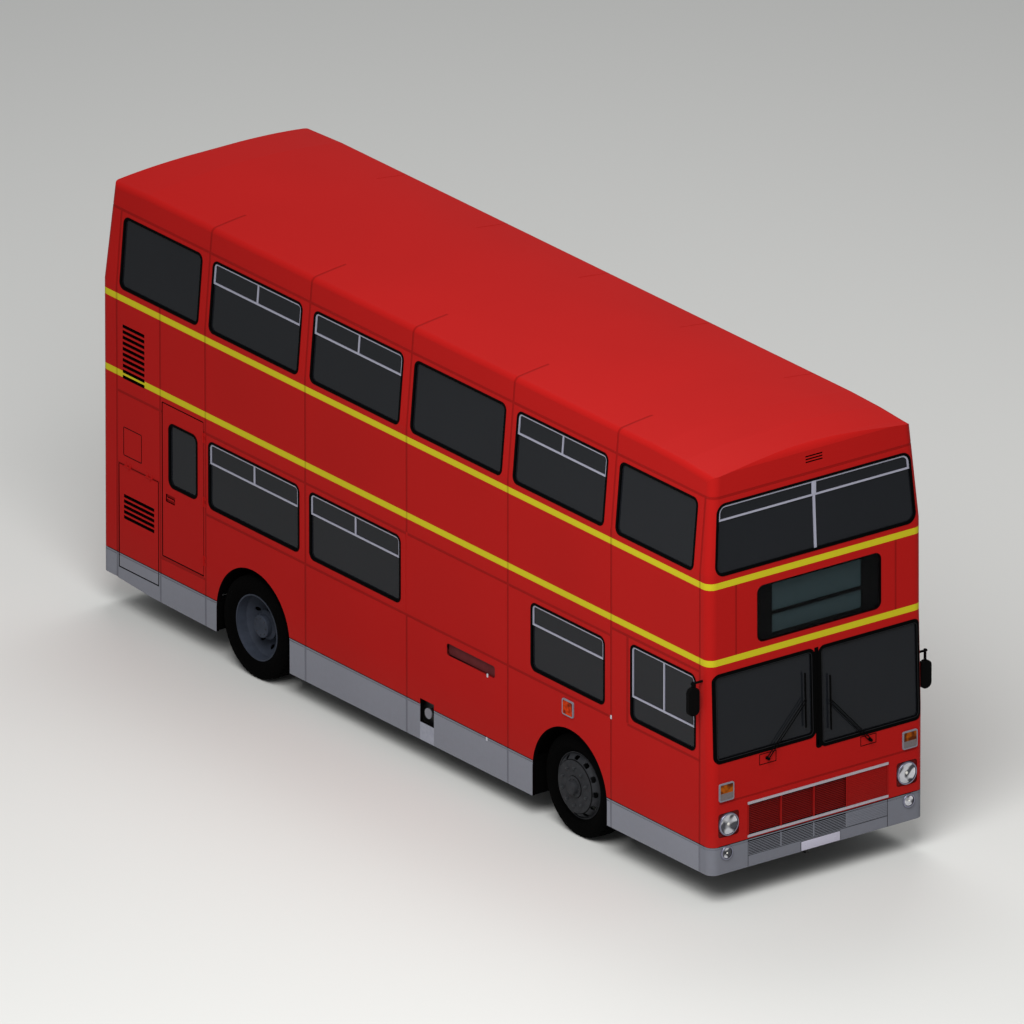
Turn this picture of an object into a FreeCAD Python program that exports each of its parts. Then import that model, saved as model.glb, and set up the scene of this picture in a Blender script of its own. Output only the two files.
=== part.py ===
import FreeCAD, Part
import math
import os
from FreeCAD import Vector

# A double-deck bus with a front entrance and a rear engine.
# X points forward, Y to the bus's left (its nearside), Z up; millimetres.
# The origin is on the ground, half way along the body and on its centre line.
# "Distance" always means how far a thing lies behind the flat front panel.

# ---- Driving dimensions ----

BODY_LENGTH = 9530.0
BODY_WIDTH = 2500.0
BODY_HEIGHT = 4386.0
CORNER_RADIUS = 90.0
WALL = 50.0
SKIRT_WALL = 30.0
PANEL_GAP = 6.0
FLOOR_THICKNESS = 60.0

FRONT_AXLE_DISTANCE = 2180.0
WHEELBASE = 4955.0
TYRE_RADIUS = 510.0
ARCH_CLEARANCE = 68.0
ARCH_RISE = 15.0
TYRE_WIDTH = 280.0
RIM_RADIUS = 326.0
FRONT_TYRE_INSET = 75.0
REAR_TYRE_INSET = 5.0
TWIN_SPACING = 330.0
KINGPIN_INSET = 185.0
BEARING_CLEARANCE = 0.3

SKIRT_TOP = 605.0
DECK_SEAM = 2440.0
CANTRAIL = 4067.0
LOWER_FLOOR_TOP = 700.0
REAR_FLOOR_TOP = 790.0
UPPER_FLOOR_TOP = 2560.0
ENGINE_DECK_TOP = 1580.0

FRONT_SEAM_DISTANCE = 174.0
REAR_CORNER_LENGTH = 248.0
ENGINE_BULKHEAD_DISTANCE = 8575.0
FLOOR_STEP_DISTANCE = 6330.0

WINDOW_RADIUS = 75.0
FRAME_WIDTH = 26.0
FRAME_STANDOUT = 3.0
FRAME_DEPTH = 34.0
GLASS_INSET = 14.0
GLASS_THICKNESS = 6.0
HOPPER_DROP = 232.0
HOPPER_SECTION = 16.0
HOPPER_INSET = 4.0
WINDSCREEN_RUBBER = 45.0
CAB_LIGHT_FOOT = 1742.0
CAB_LIGHT_POST = 732.0

FRONT_X = BODY_LENGTH / 2
REAR_X = -BODY_LENGTH / 2
HALF_WIDTH = BODY_WIDTH / 2
INNER_HALF_WIDTH = HALF_WIDTH - WALL
AXLE_HEIGHT = TYRE_RADIUS
ARCH_RADIUS = TYRE_RADIUS + ARCH_CLEARANCE
REAR_SEAM_DISTANCE = BODY_LENGTH - REAR_CORNER_LENGTH
OVERSIZE = 200.0

# Wipers in front and the cover's handle behind stand out alike, so the origin is at mid-length.
STANDOUT = 40.0

# ---- The body's form: level sections, then the roof's two curves ----

# height, front panel's inset, sides' inset, rear panel's inset
BODY_SECTIONS = (
    (200.0, 0.0, 0.0, 0.0),
    (1450.0, 0.0, 0.0, 0.0),
    (2400.0, 33.0, 0.0, 0.0),
    (3320.0, 40.0, 0.0, 0.0),
    (4500.0, 104.0, 103.0, 79.0),
)

# Roof edge seen from the front: inset from the side, drop below the crown
SHOULDER_OUTER = (80.0, 130.0)
SHOULDER_MIDDLE = (97.0, 95.0)
SHOULDER_INNER = (145.0, 73.0)

# Roof seen from the side falls towards each end: distance from the front panel, drop
ROOF_FALL = ((-OVERSIZE, 56.0), (190.0, 40.0), (560.0, 13.0), (1000.0, 0.0),
             (BODY_LENGTH - 600.0, 0.0), (BODY_LENGTH - 130.0, 20.0), (BODY_LENGTH + OVERSIZE, 28.0))
# Roof edge at the front (1) and rear (-1): inset from the end, drop below the crown
DOME_EDGES = {
    1: ((84.0, 140.0), (100.0, 84.0), (150.0, 43.0), (400.0, 0.0)),
    -1: ((60.0, 140.0), (76.0, 70.0), (112.0, 26.0), (300.0, 0.0)),
}

# ---- Windows and doors on the sides ----

# side, front edge's distance, rear edge's distance, sill, head, kind of opening light
OFFSIDE = -1
NEARSIDE = 1
LOWER_WINDOWS = (
    (OFFSIDE, 232.0, 1245.0, 1505.0, 2280.0, "cab"),
    (OFFSIDE, 1634.0, 2787.0, 1510.0, 2200.0, "single"),
    (OFFSIDE, 4808.0, 6245.0, 1510.0, 2200.0, "split"),
    (OFFSIDE, 6397.0, 7837.0, 1510.0, 2200.0, "split"),
    (NEARSIDE, 1634.0, 3062.0, 1510.0, 2200.0, "split"),
    (NEARSIDE, 3216.0, 4641.0, 1510.0, 2200.0, "split"),
    (NEARSIDE, 4808.0, 6245.0, 1510.0, 2200.0, "split"),
    (NEARSIDE, 6397.0, 7837.0, 1510.0, 2200.0, "split"),
    (NEARSIDE, 7965.0, 8520.0, 1530.0, 2200.0, None),
)
# front edge's distance, rear edge's distance, kind of opening light; the same on both sides
UPPER_WINDOWS = (
    (275.0, 1480.0, None),
    (1655.0, 3070.0, "split"),
    (3235.0, 4665.0, None),
    (4830.0, 6240.0, "split"),
    (6415.0, 7830.0, "split"),
    (7990.0, 9240.0, None),
)
UPPER_SILL = 3300.0
UPPER_HEAD = 4018.0

# front edge's distance, rear edge's distance, bottom, top
EMERGENCY_DOOR = (7917.0, 8558.0, 801.0, 2348.0)
EMERGENCY_WINDOW = (8008.0, 8463.0, 1530.0, 2180.0)
ENGINE_DOOR = (8636.0, 9248.0, 470.0, 1515.0)
ENTRANCE = (300.0, 1450.0, 340.0, 2260.0)

LEAF_THICKNESS = 36.0
LEAF_RAIL = 55.0
LEAF_MIDDLE = 1150.0
LEAF_CORNER = 35.0
LEAF_OUTER_INSET = 8.0
LEAF_GAP = 10.0
MEETING_GAP = 24.0
STEP_TREAD_DEPTH = 350.0
STEP_HEIGHTS = (360.0, 530.0)

# ---- Front and rear openings: left edge, right edge (Y, right is minus), bottom, top ----

WINDSCREEN_OFFSIDE = (-1212.0, -20.0, 1436.0, 2328.0)
WINDSCREEN_NEARSIDE = (20.0, 1212.0, 1318.0, 2328.0)
UPPER_FRONT_WINDOW = (-1180.0, 1180.0, 3292.0, 4004.0)
UPPER_FRONT_LEAN = 52.0
UPPER_FRONT_RADIUS = 105.0
DESTINATION = (-688.0, 764.0, 2530.0, 3096.0)
GRILLE = (-823.0, 823.0, 636.0, 966.0)
REAR_UPPER_WINDOW = (-620.0, 620.0, 3320.0, 3950.0)
REAR_LOWER_WINDOW = (-880.0, 880.0, 1640.0, 2180.0)
ENGINE_COVER = (-930.0, 930.0, 640.0, 1480.0)

# ---- Seams, louvres and small recesses of the outer panels ----

SEAM_WIDTH = 26.0
SEAM_DEPTH = 1.5
# distance, foot, head; on both sides of the bus
UPRIGHT_SEAMS = (
    (FRONT_SEAM_DISTANCE, 0.0, CANTRAIL),
    (1539.0, 0.0, CANTRAIL),
    (3140.0, 0.0, CANTRAIL),
    (4717.0, 0.0, CANTRAIL),
    (6306.0, 0.0, CANTRAIL),
    (7881.0, 0.0, CANTRAIL),
    (8596.0, 0.0, UPPER_SILL),
    (REAR_SEAM_DISTANCE, 0.0, CANTRAIL),
)
# height, front end's distance, rear end's distance; on both sides of the bus
LEVEL_SEAMS = (
    (1436.5, 1539.0, 7881.0),
    (2336.0, FRONT_SEAM_DISTANCE, 1539.0),
    (2256.0, 1539.0, REAR_SEAM_DISTANCE),
    (1520.0, 8596.0, REAR_SEAM_DISTANCE),
    (768.0, 7881.0, 8596.0),
)
# foot, head of the grooves that run all round the bus
RING_SEAMS = ((577.0, 589.0), (SKIRT_TOP - 4.0, SKIRT_TOP), (CANTRAIL - SEAM_WIDTH / 2, CANTRAIL + SEAM_WIDTH / 2))
# end, foot or lower edge, head or upper edge, left edge, right edge; of the flat front and rear
END_SEAMS = (
    (1, 1028.0, 1048.0, -1150.0, 1150.0),
    (1, 2473.0, 3173.0, -942.0, -922.0),
    (1, 2473.0, 3173.0, 922.0, 942.0),
    (-1, 2473.0, 3173.0, -942.0, -922.0),
    (-1, 2473.0, 3173.0, 922.0, 942.0),
    (-1, 2243.0, 2269.0, -1150.0, 1150.0),
)
# side of the bus; nearer edge, further edge (Y), bottom, top of the plate that a wiper's spindle passes
SPINDLE_PLATES = (
    (OFFSIDE, 490.0, 683.0, 1315.0, 1420.0),
    (NEARSIDE, 501.0, 681.0, 1213.0, 1306.0),
)
SPINDLE_SEAM = 5.0
ROOF_SEAM_REACH = 480.0
# front edge's distance, rear edge's distance, bottom, top
HATCH = (8898.0, 9177.0, 1624.0, 1905.0)
HATCH_CORNER = 14.0
HATCH_GAP = 5.0
POCKET = (3342.0, 4091.0, 1235.0, 1355.0)
POCKET_DEPTH = 26.0
POCKET_CORNER = 28.0
FILLER = (4293.0, 4509.0, 426.0, 661.0)
FILLER_CAP = (4396.0, 537.0)

LOUVRE_SLOT = 34.0
# front edge's distance, rear edge's distance, lowest slot's foot, pitch, slots, depth, rise inwards
ENGINE_DOOR_LOUVRE = (8696.0, 9177.0, 975.0, 54.0, 5, 60.0, 16.0)
UPPER_LOUVRE = (8844.0, 9189.0, 2399.0, 57.0, 10, 38.0, 6.0)
# half-widths of the two columns, lowest slot's foot, pitch, slots
COVER_LOUVRE = (80.0, 700.0, 860.0, 62.0, 7)
# left edge, right edge, lowest slot's foot, pitch, slot height, slots
ROOF_VENT = (-88.0, 110.0, 4168.0, 28.0, 13.0, 3)


# ---- Shape helpers ----

def station(distance):
    """X of a thing that lies this far behind the front panel."""
    return FRONT_X - distance


def block(x0, x1, y0, y1, z0, z1):
    low = Vector(min(x0, x1), min(y0, y1), min(z0, z1))
    return Part.makeBox(abs(x1 - x0), abs(y1 - y0), abs(z1 - z0), low)


def along(axis, a, b, c):
    """A point given across, up and along a direction, which is X, Y or Z."""
    return {"x": Vector(c, a, b), "y": Vector(a, c, b), "z": Vector(a, b, c)}[axis]


def prism(axis, outline, start, end):
    """A closed outline of straight runs, pushed along one axis."""
    points = [along(axis, a, b, start) for a, b in outline]
    wire = Part.makePolygon(points + points[:1])
    push = along(axis, 0, 0, end) - along(axis, 0, 0, start)
    return Part.Face(wire).extrude(push)


def rounded_wire(axis, a0, a1, b0, b1, level, radii):
    """A rectangle with round corners; radii go round from the low-a, low-b corner."""
    corners = ((a0, b0, 1, 1), (a1, b0, -1, 1), (a1, b1, -1, -1), (a0, b1, 1, -1))
    bulge = 1 - math.sqrt(0.5)
    ends = []
    arcs = []
    for turn, (a, b, da, db) in enumerate(corners):
        r = radii[turn]
        flat = along(axis, a + da * r, b, level)
        upright = along(axis, a, b + db * r, level)
        middle = along(axis, a + da * r * bulge, b + db * r * bulge, level)
        first, last = (upright, flat) if turn % 2 == 0 else (flat, upright)
        arcs.append(Part.Arc(first, middle, last).toShape())
        ends.append((first, last))
    edges = []
    for turn in range(4):
        edges.append(arcs[turn])
        edges.append(Part.LineSegment(ends[turn][1], ends[(turn + 1) % 4][0]).toShape())
    return Part.Wire(edges)


def filleted_wire(outline, x, radius):
    """A closed outline across the bus (Y, Z) with every corner rounded alike."""
    corners = [Vector(x, y, z) for y, z in outline]
    arcs = []
    for turn, corner in enumerate(corners):
        back = (corners[turn - 1] - corner).normalize()
        ahead = (corners[(turn + 1) % len(corners)] - corner).normalize()
        half = back.getAngle(ahead) / 2
        inward = (back + ahead).normalize()
        middle = corner + inward * (radius / math.sin(half) - radius)
        run = radius / math.tan(half)
        arcs.append((corner + back * run, middle, corner + ahead * run))
    edges = []
    for turn, (first, middle, last) in enumerate(arcs):
        edges.append(Part.Arc(first, middle, last).toShape())
        edges.append(Part.LineSegment(last, arcs[(turn + 1) % len(arcs)][0]).toShape())
    return Part.Wire(edges)


def rounded_prism(axis, a0, a1, b0, b1, start, end, radius):
    low_a, high_a = min(a0, a1), max(a0, a1)
    wire = rounded_wire(axis, low_a, high_a, b0, b1, start, [radius] * 4)
    push = along(axis, 0, 0, end) - along(axis, 0, 0, start)
    return Part.Face(wire).extrude(push)


def rod(start, end, radius):
    run = end - start
    return Part.makeCylinder(radius, run.Length, start, run)


def turned(profile, x, z, side=1):
    """A closed outline of (offset along Y, radius) points, turned about an axle."""
    points = [Vector(x, side * y, z + r) for y, r in profile]
    face = Part.Face(Part.makePolygon(points + points[:1]))
    return face.revolve(Vector(x, 0, z), Vector(0, 1, 0), 360)


def joined(shapes):
    return shapes[0].multiFuse(shapes[1:]).removeSplitter()


def apart(shapes):
    """Like pieces that don't touch, kept as separate solids of one node."""
    return Part.makeCompound(shapes)


def mirrored(shape):
    """The same shape on the other side of the bus."""
    return shape.mirror(Vector(0, 0, 0), Vector(0, 1, 0))


# ---- The hull ----

def level_points(section, inset, radius):
    """Where a level section's straight runs and corner arcs meet, going round from the rear right."""
    height, front, side, rear = section
    ahead, behind = FRONT_X - front - inset, REAR_X + rear + inset
    half = HALF_WIDTH - side - inset
    flat = [(behind + radius, -half), (ahead - radius, -half), (ahead, radius - half), (ahead, half - radius),
            (ahead - radius, half), (behind + radius, half), (behind, half - radius), (behind, radius - half)]
    return [Vector(x, y, height) for x, y in flat]


def corner_arc(start, end, radius):
    """The quarter circle between two runs of a level section."""
    chord = end - start
    outward = Vector(chord.y, -chord.x, 0).normalize()
    return Part.Arc(start, (start + end) * 0.5 + outward * radius * (1 - math.sqrt(0.5)), end).toShape()


def level_face(points, radius):
    edges = []
    for turn in range(0, 8, 2):
        edges.append(Part.LineSegment(points[turn], points[turn + 1]).toShape())
        edges.append(corner_arc(points[turn + 1], points[(turn + 2) % 8], radius))
    return Part.Face(Part.Wire(edges))


def hull(inset):
    """The bus's outer form, moved inwards by inset all round and at the roof."""
    radius = max(CORNER_RADIUS - inset, 20.0)
    lowest = (BODY_SECTIONS[0][0] - inset,) + BODY_SECTIONS[0][1:]
    levels = [level_points(section, inset, radius) for section in (lowest,) + BODY_SECTIONS[1:]]
    faces = [level_face(levels[0], radius), level_face(levels[-1], radius)]
    for low, high in zip(levels, levels[1:]):
        for turn in range(0, 8, 2):
            corners = [low[turn], low[turn + 1], high[turn + 1], high[turn], low[turn]]
            faces.append(Part.Face(Part.makePolygon(corners)))
            arc = corner_arc(low[turn + 1], low[(turn + 2) % 8], radius)
            faces.append(arc.extrude(high[turn + 1] - low[turn + 1]))
    skin = Part.makeShell(faces)
    skin.sewShape()
    walls = Part.makeSolid(skin)
    return walls.common(roof_across(inset)).common(roof_along(inset))


def roof_across(inset):
    """The space under the roof's cambered section, which falls a little towards each end."""
    crown = BODY_HEIGHT - inset
    half = HALF_WIDTH - inset

    def point(place, side):
        return Vector(0, side * (half - place[0]), crown - place[1])

    def shoulder(side):
        return Part.Arc(point(SHOULDER_OUTER, side), point(SHOULDER_MIDDLE, side),
                        point(SHOULDER_INNER, side)).toShape()

    top = Part.Arc(point(SHOULDER_INNER, -1), Vector(0, 0, crown), point(SHOULDER_INNER, 1)).toShape()
    wide = HALF_WIDTH + OVERSIZE
    right, left = point(SHOULDER_OUTER, -1), point(SHOULDER_OUTER, 1)
    rim = [right, Vector(0, -wide, right.z), Vector(0, -wide, 0), Vector(0, wide, 0),
           Vector(0, wide, left.z), left]
    edges = Part.makePolygon(rim).Edges + [shoulder(-1), top, shoulder(1)]
    section = Part.Face(Part.Wire(Part.__sortEdges__(edges)))
    stretches = []
    for (near, near_drop), (far, far_drop) in zip(ROOF_FALL, ROOF_FALL[1:]):
        face = section.translated(Vector(station(near), 0, -near_drop))
        stretches.append(face.extrude(Vector(near - far, 0, near_drop - far_drop)))
    return stretches[0].multiFuse(stretches[1:])


def roof_along(inset):
    """The space under the roof's rounded front and rear edges, as wide as the bus."""
    crown = BODY_HEIGHT - inset
    across = -HALF_WIDTH - OVERSIZE
    lid = crown + OVERSIZE

    def point(place, end):
        return Vector(end * (FRONT_X - inset - place[0]), across, crown - place[1])

    def edge(end):
        outer, middle, inner, crest = [point(place, end) for place in DOME_EDGES[end]]
        return [Part.Arc(outer, middle, inner).toShape(), Part.LineSegment(inner, crest).toShape()]

    long = FRONT_X + OVERSIZE
    front, rear = point(DOME_EDGES[1][0], 1), point(DOME_EDGES[-1][0], -1)
    rim = [front, Vector(long, across, front.z), Vector(long, across, 0),
           Vector(-long, across, 0), Vector(-long, across, rear.z), rear]
    front_crest, rear_crest = point(DOME_EDGES[1][3], 1), point(DOME_EDGES[-1][3], -1)
    over = [front_crest, Vector(front_crest.x, across, lid), Vector(rear_crest.x, across, lid), rear_crest]
    edges = Part.makePolygon(rim).Edges + edge(1) + edge(-1) + Part.makePolygon(over).Edges
    outline = Part.Wire(Part.__sortEdges__(edges))
    return Part.Face(outline).extrude(Vector(0, BODY_WIDTH + 2 * OVERSIZE, 0))


OUTER = hull(0.0)
INNER = hull(WALL)
SHELL = OUTER.cut(INNER)
SKIRT_SHELL = OUTER.cut(hull(SKIRT_WALL))
FRAME_SKIN = hull(-FRAME_STANDOUT).cut(hull(FRAME_DEPTH))
HOPPER_SKIN = hull(HOPPER_INSET).cut(hull(FRAME_DEPTH))
SEAM_CORE = hull(SEAM_DEPTH)
GLASS_SKIN = hull(GLASS_INSET).cut(hull(GLASS_INSET + GLASS_THICKNESS))


def side_window(side, front, rear, sill, head, grow=0.0):
    """A rounded window hole through one side, made larger all round by grow."""
    return rounded_prism("y", station(rear) - grow, station(front) + grow, sill - grow, head + grow,
                         side * (HALF_WIDTH + OVERSIZE), side * (HALF_WIDTH - OVERSIZE),
                         WINDOW_RADIUS + grow)


def end_window(end, opening, grow=0.0, radius=WINDOW_RADIUS):
    """A rounded window hole through the front (end 1) or the rear (end -1)."""
    y0, y1, bottom, top = opening
    return rounded_prism("x", y0 - grow, y1 + grow, bottom - grow, top + grow,
                         end * (FRONT_X + OVERSIZE), end * (FRONT_X - OVERSIZE), radius + grow)


def upper_front_window(grow=0.0):
    """The upper deck's front window hole, whose sides lean in towards the top."""
    y0, y1, bottom, top = UPPER_FRONT_WINDOW
    outline = ((y0 - grow, bottom - grow), (y1 + grow, bottom - grow),
               (y1 + grow - UPPER_FRONT_LEAN, top + grow), (y0 - grow + UPPER_FRONT_LEAN, top + grow))
    wire = filleted_wire(outline, FRONT_X + OVERSIZE, UPPER_FRONT_RADIUS + grow)
    return Part.Face(wire).extrude(Vector(-2 * OVERSIZE, 0, 0))


def side_hole(side, opening, grow=0.0):
    """A square-cornered hole through one side."""
    front, rear, bottom, top = opening
    return block(station(rear) - grow, station(front) + grow, side * (HALF_WIDTH + OVERSIZE),
                 side * (HALF_WIDTH - OVERSIZE), bottom - grow, top + grow)


def windows_of(side, deck):
    """The window holes of one side and deck: (hole maker's arguments, opening light)."""
    if deck == "lower":
        return [(row[:5], row[5]) for row in LOWER_WINDOWS if row[0] == side]
    return [((side, front, rear, UPPER_SILL, UPPER_HEAD), light)
            for front, rear, light in UPPER_WINDOWS]


def arches():
    """The four wheel openings, cut through walls and skirts."""
    holes = []
    middle = AXLE_HEIGHT + ARCH_RISE
    for x in (station(FRONT_AXLE_DISTANCE), station(FRONT_AXLE_DISTANCE + WHEELBASE)):
        round_top = Part.makeCylinder(ARCH_RADIUS, BODY_WIDTH + 2 * OVERSIZE,
                                      Vector(x, -HALF_WIDTH - OVERSIZE, middle), Vector(0, 1, 0))
        below = block(x - ARCH_RADIUS, x + ARCH_RADIUS, -HALF_WIDTH - OVERSIZE,
                      HALF_WIDTH + OVERSIZE, 0, middle)
        holes += [round_top, below]
    return holes


def side_space(side, bottom, top):
    """The space that one side's panels fill between two heights."""
    return block(station(REAR_SEAM_DISTANCE), station(FRONT_SEAM_DISTANCE), 0,
                 side * (HALF_WIDTH + OVERSIZE), bottom, top)


def end_space(end, bottom, top):
    """The space that the front or rear panels fill between two heights."""
    seam = station(FRONT_SEAM_DISTANCE) if end > 0 else station(REAR_SEAM_DISTANCE)
    return block(seam, end * (FRONT_X + OVERSIZE), -HALF_WIDTH - OVERSIZE, HALF_WIDTH + OVERSIZE,
                 bottom, top)


def seam_grooves():
    """Every seam of the outer panels, as slabs that stop a little below the paint."""
    slabs = []
    half = SEAM_WIDTH / 2
    for side in (OFFSIDE, NEARSIDE):
        for distance, foot, head in UPRIGHT_SEAMS:
            slabs.append(side_hole(side, (distance - half, distance + half, foot, head)))
        for height, front, rear in LEVEL_SEAMS:
            slabs.append(side_hole(side, (front, rear, height - half, height + half)))
        for distance, foot, head in UPRIGHT_SEAMS[1:-2]:
            slabs.append(block(station(distance) - half, station(distance) + half, side * HALF_WIDTH,
                               side * (HALF_WIDTH - ROOF_SEAM_REACH), CANTRAIL, BODY_HEIGHT))
    for end, foot, head, left, right in END_SEAMS:
        slabs.append(block(end * (FRONT_X - FRONT_SEAM_DISTANCE), end * (FRONT_X + OVERSIZE),
                           left, right, foot, head))
    for foot, head in RING_SEAMS:
        slabs.append(block(REAR_X - OVERSIZE, FRONT_X + OVERSIZE, -HALF_WIDTH - OVERSIZE,
                           HALF_WIDTH + OVERSIZE, foot, head))
    front, rear, bottom, top = HATCH
    reach = (-HALF_WIDTH - OVERSIZE, OVERSIZE - HALF_WIDTH)
    lid = rounded_prism("y", station(rear), station(front), bottom, top, *reach, HATCH_CORNER)
    inner = rounded_prism("y", station(rear) + HATCH_GAP, station(front) - HATCH_GAP,
                          bottom + HATCH_GAP, top - HATCH_GAP, *reach, HATCH_CORNER - HATCH_GAP)
    slabs.append(lid.cut(inner))
    for side, near, far, bottom, top in SPINDLE_PLATES:
        reach = (FRONT_X - WALL, FRONT_X + OVERSIZE)
        plate = block(*reach, side * near, side * far, bottom, top)
        slabs.append(plate.cut(block(*reach, side * (near + SPINDLE_SEAM), side * (far - SPINDLE_SEAM),
                                     bottom + SPINDLE_SEAM, top - SPINDLE_SEAM)))
    return [slab.cut(SEAM_CORE) for slab in slabs]


SEAMS = seam_grooves()


def seamed(panel):
    """A panel with the grooves of the seams that cross it."""
    crossing = [seam for seam in SEAMS if seam.BoundBox.intersect(panel.BoundBox)]
    return panel.cut(crossing) if crossing else panel


def side_louvre(louvre):
    """Slots through the offside wall that rise a little inwards, so rain runs out."""
    front, rear, foot, pitch, slots, depth, rise = louvre
    outer, inner = -HALF_WIDTH - OVERSIZE, depth - HALF_WIDTH
    cuts = []
    for slot in range(slots):
        low = foot + slot * pitch
        high = low + LOUVRE_SLOT
        outline = [(outer, low), (-HALF_WIDTH, low), (inner, low + rise), (inner, high + rise),
                   (-HALF_WIDTH, high), (outer, high)]
        cuts.append(prism("x", outline, station(rear), station(front)))
    return cuts


def recess(axis, a0, a1, b0, b1, face, depth, radius):
    """A blind pocket with round corners, sunk into an outer face that lies at the given place."""
    sign = 1 if face > 0 else -1
    return rounded_prism(axis, a0, a1, b0, b1, face + sign * OVERSIZE, face - sign * depth, radius)


HINGE_RADIUS = 6.0
HINGE_LEAF = 38.0
HINGE_SHEET = 3.0
HINGE_KNUCKLE = 34.0
HINGE_PLAY = 1.0


def butt_hinge(start, along_pin, to_frame, outward):
    """Two fixed knuckles with a moving one between them: (fixed part, moving part)."""
    halves = ([], [])
    for turn in range(3):
        low = start + along_pin * (turn * HINGE_KNUCKLE)
        high = low + along_pin * (HINGE_KNUCKLE - HINGE_PLAY)
        way = 1 if turn != 1 else -1
        sheet_low = low - outward * HINGE_RADIUS
        sheet_high = high + to_frame * (way * HINGE_LEAF) - outward * (HINGE_RADIUS - HINGE_SHEET)
        leaf = block(sheet_low.x, sheet_high.x, sheet_low.y, sheet_high.y, sheet_low.z, sheet_high.z)
        halves[turn % 2].append(rod(low, high, HINGE_RADIUS).fuse(leaf))
    return halves


# Hinge pins stand clear of the panels, over the middle of the gap round each lid.
PIN_OFF = PANEL_GAP / 2
DOOR_PIN = (station(EMERGENCY_DOOR[0] - PIN_OFF), -HALF_WIDTH - HINGE_RADIUS)
ENGINE_DOOR_PIN = (-HALF_WIDTH - HINGE_RADIUS, ENGINE_DOOR[3] + PIN_OFF)
COVER_PIN = (REAR_X - HINGE_RADIUS, ENGINE_COVER[3] + PIN_OFF)
# how far each hinge's start lies along its own edge
DOOR_HINGES = (900.0, 1500.0, 2150.0)
ENGINE_DOOR_HINGES = (8720.0, 9060.0)
COVER_HINGES = (-720.0, -50.0, 620.0)


def door_hinges():
    return [butt_hinge(Vector(*DOOR_PIN, height), Vector(0, 0, 1), Vector(1, 0, 0), Vector(0, -1, 0))
            for height in DOOR_HINGES]


def engine_door_hinges():
    return [butt_hinge(Vector(station(distance), *ENGINE_DOOR_PIN), Vector(-1, 0, 0), Vector(0, 0, 1),
                       Vector(0, -1, 0)) for distance in ENGINE_DOOR_HINGES]


def cover_hinges():
    return [butt_hinge(Vector(COVER_PIN[0], across, COVER_PIN[1]), Vector(0, 1, 0), Vector(0, 0, 1),
                       Vector(-1, 0, 0)) for across in COVER_HINGES]


# ---- Walls, skirts and roof ----

def lower_wall(side):
    wall = SHELL.common(side_space(side, SKIRT_TOP, DECK_SEAM))
    holes = [side_window(*place) for place, light in windows_of(side, "lower")] + arches()
    if side == OFFSIDE:
        holes += [side_hole(side, EMERGENCY_DOOR, PANEL_GAP), side_hole(side, ENGINE_DOOR, PANEL_GAP)]
        front, rear, bottom, top = POCKET
        holes.append(recess("y", station(rear), station(front), bottom, top, -HALF_WIDTH,
                            POCKET_DEPTH, POCKET_CORNER))
        holes += [side_hole(side, FILLER)] + side_louvre(UPPER_LOUVRE)
    else:
        holes += [side_hole(side, ENTRANCE)]
    wall = seamed(wall.cut(holes))
    if side == OFFSIDE:
        fixed = [part for hinge in door_hinges() + engine_door_hinges() for part in hinge[0]]
        wall = joined([wall] + fixed)
    return wall


def upper_wall(side):
    wall = SHELL.common(side_space(side, DECK_SEAM, CANTRAIL))
    holes = [side_window(*place) for place, light in windows_of(side, "upper")]
    if side == OFFSIDE:
        holes += side_louvre(UPPER_LOUVRE)
    return seamed(wall.cut(holes))


def front_lower_panel():
    panel = SHELL.common(end_space(1, SKIRT_TOP, DECK_SEAM))
    holes = [end_window(1, WINDSCREEN_OFFSIDE), end_window(1, WINDSCREEN_NEARSIDE), grille_opening(GRILLE)]
    y, z = HEADLAMP_CENTRE
    for side in (OFFSIDE, NEARSIDE):
        holes.append(recess("x", side * y - HEADLAMP_WELL, side * y + HEADLAMP_WELL, z - HEADLAMP_WELL,
                            z + HEADLAMP_WELL, FRONT_X, HEADLAMP_SINK, HEADLAMP_WELL / 4))
    return seamed(panel.cut(holes))


def front_upper_panel():
    panel = SHELL.common(end_space(1, DECK_SEAM, CANTRAIL))
    return seamed(panel.cut([upper_front_window(), end_window(1, DESTINATION)]))


def rear_lower_panel():
    panel = SHELL.common(end_space(-1, SKIRT_TOP, DECK_SEAM))
    y0, y1, bottom, top = ENGINE_COVER
    hatch = block(REAR_X - OVERSIZE, REAR_X + OVERSIZE, y0 - PANEL_GAP, y1 + PANEL_GAP,
                  bottom - PANEL_GAP, top + PANEL_GAP)
    panel = seamed(panel.cut([end_window(-1, REAR_LOWER_WINDOW), hatch]))
    return joined([panel] + [part for hinge in cover_hinges() for part in hinge[0]])


def rear_upper_panel():
    panel = SHELL.common(end_space(-1, DECK_SEAM, CANTRAIL))
    return seamed(panel.cut(end_window(-1, REAR_UPPER_WINDOW)))


def roof():
    """The roof skin, with a small vent in its front edge."""
    skin = SHELL.common(block(REAR_X - OVERSIZE, FRONT_X + OVERSIZE, -HALF_WIDTH, HALF_WIDTH,
                              CANTRAIL, BODY_HEIGHT + OVERSIZE))
    left, right, foot, pitch, height, slots = ROOF_VENT
    core = hull(WALL / 2)
    for slot in range(slots):
        low = foot + slot * pitch
        skin = skin.cut(block(0, FRONT_X, left, right, low, low + height).cut(core))
    return seamed(skin)


# Skirt's lower edge seen from the side: distance, height
FRONT_SKIRT_FOOT = 325.0
MIDDLE_SKIRT_FOOT = 245.0
REAR_SKIRT_FOOT = ((7711.0, 293.0), (8750.0, 309.0), (9282.0, 344.0))
REAR_BUMPER_FOOT = 350.0


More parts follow.
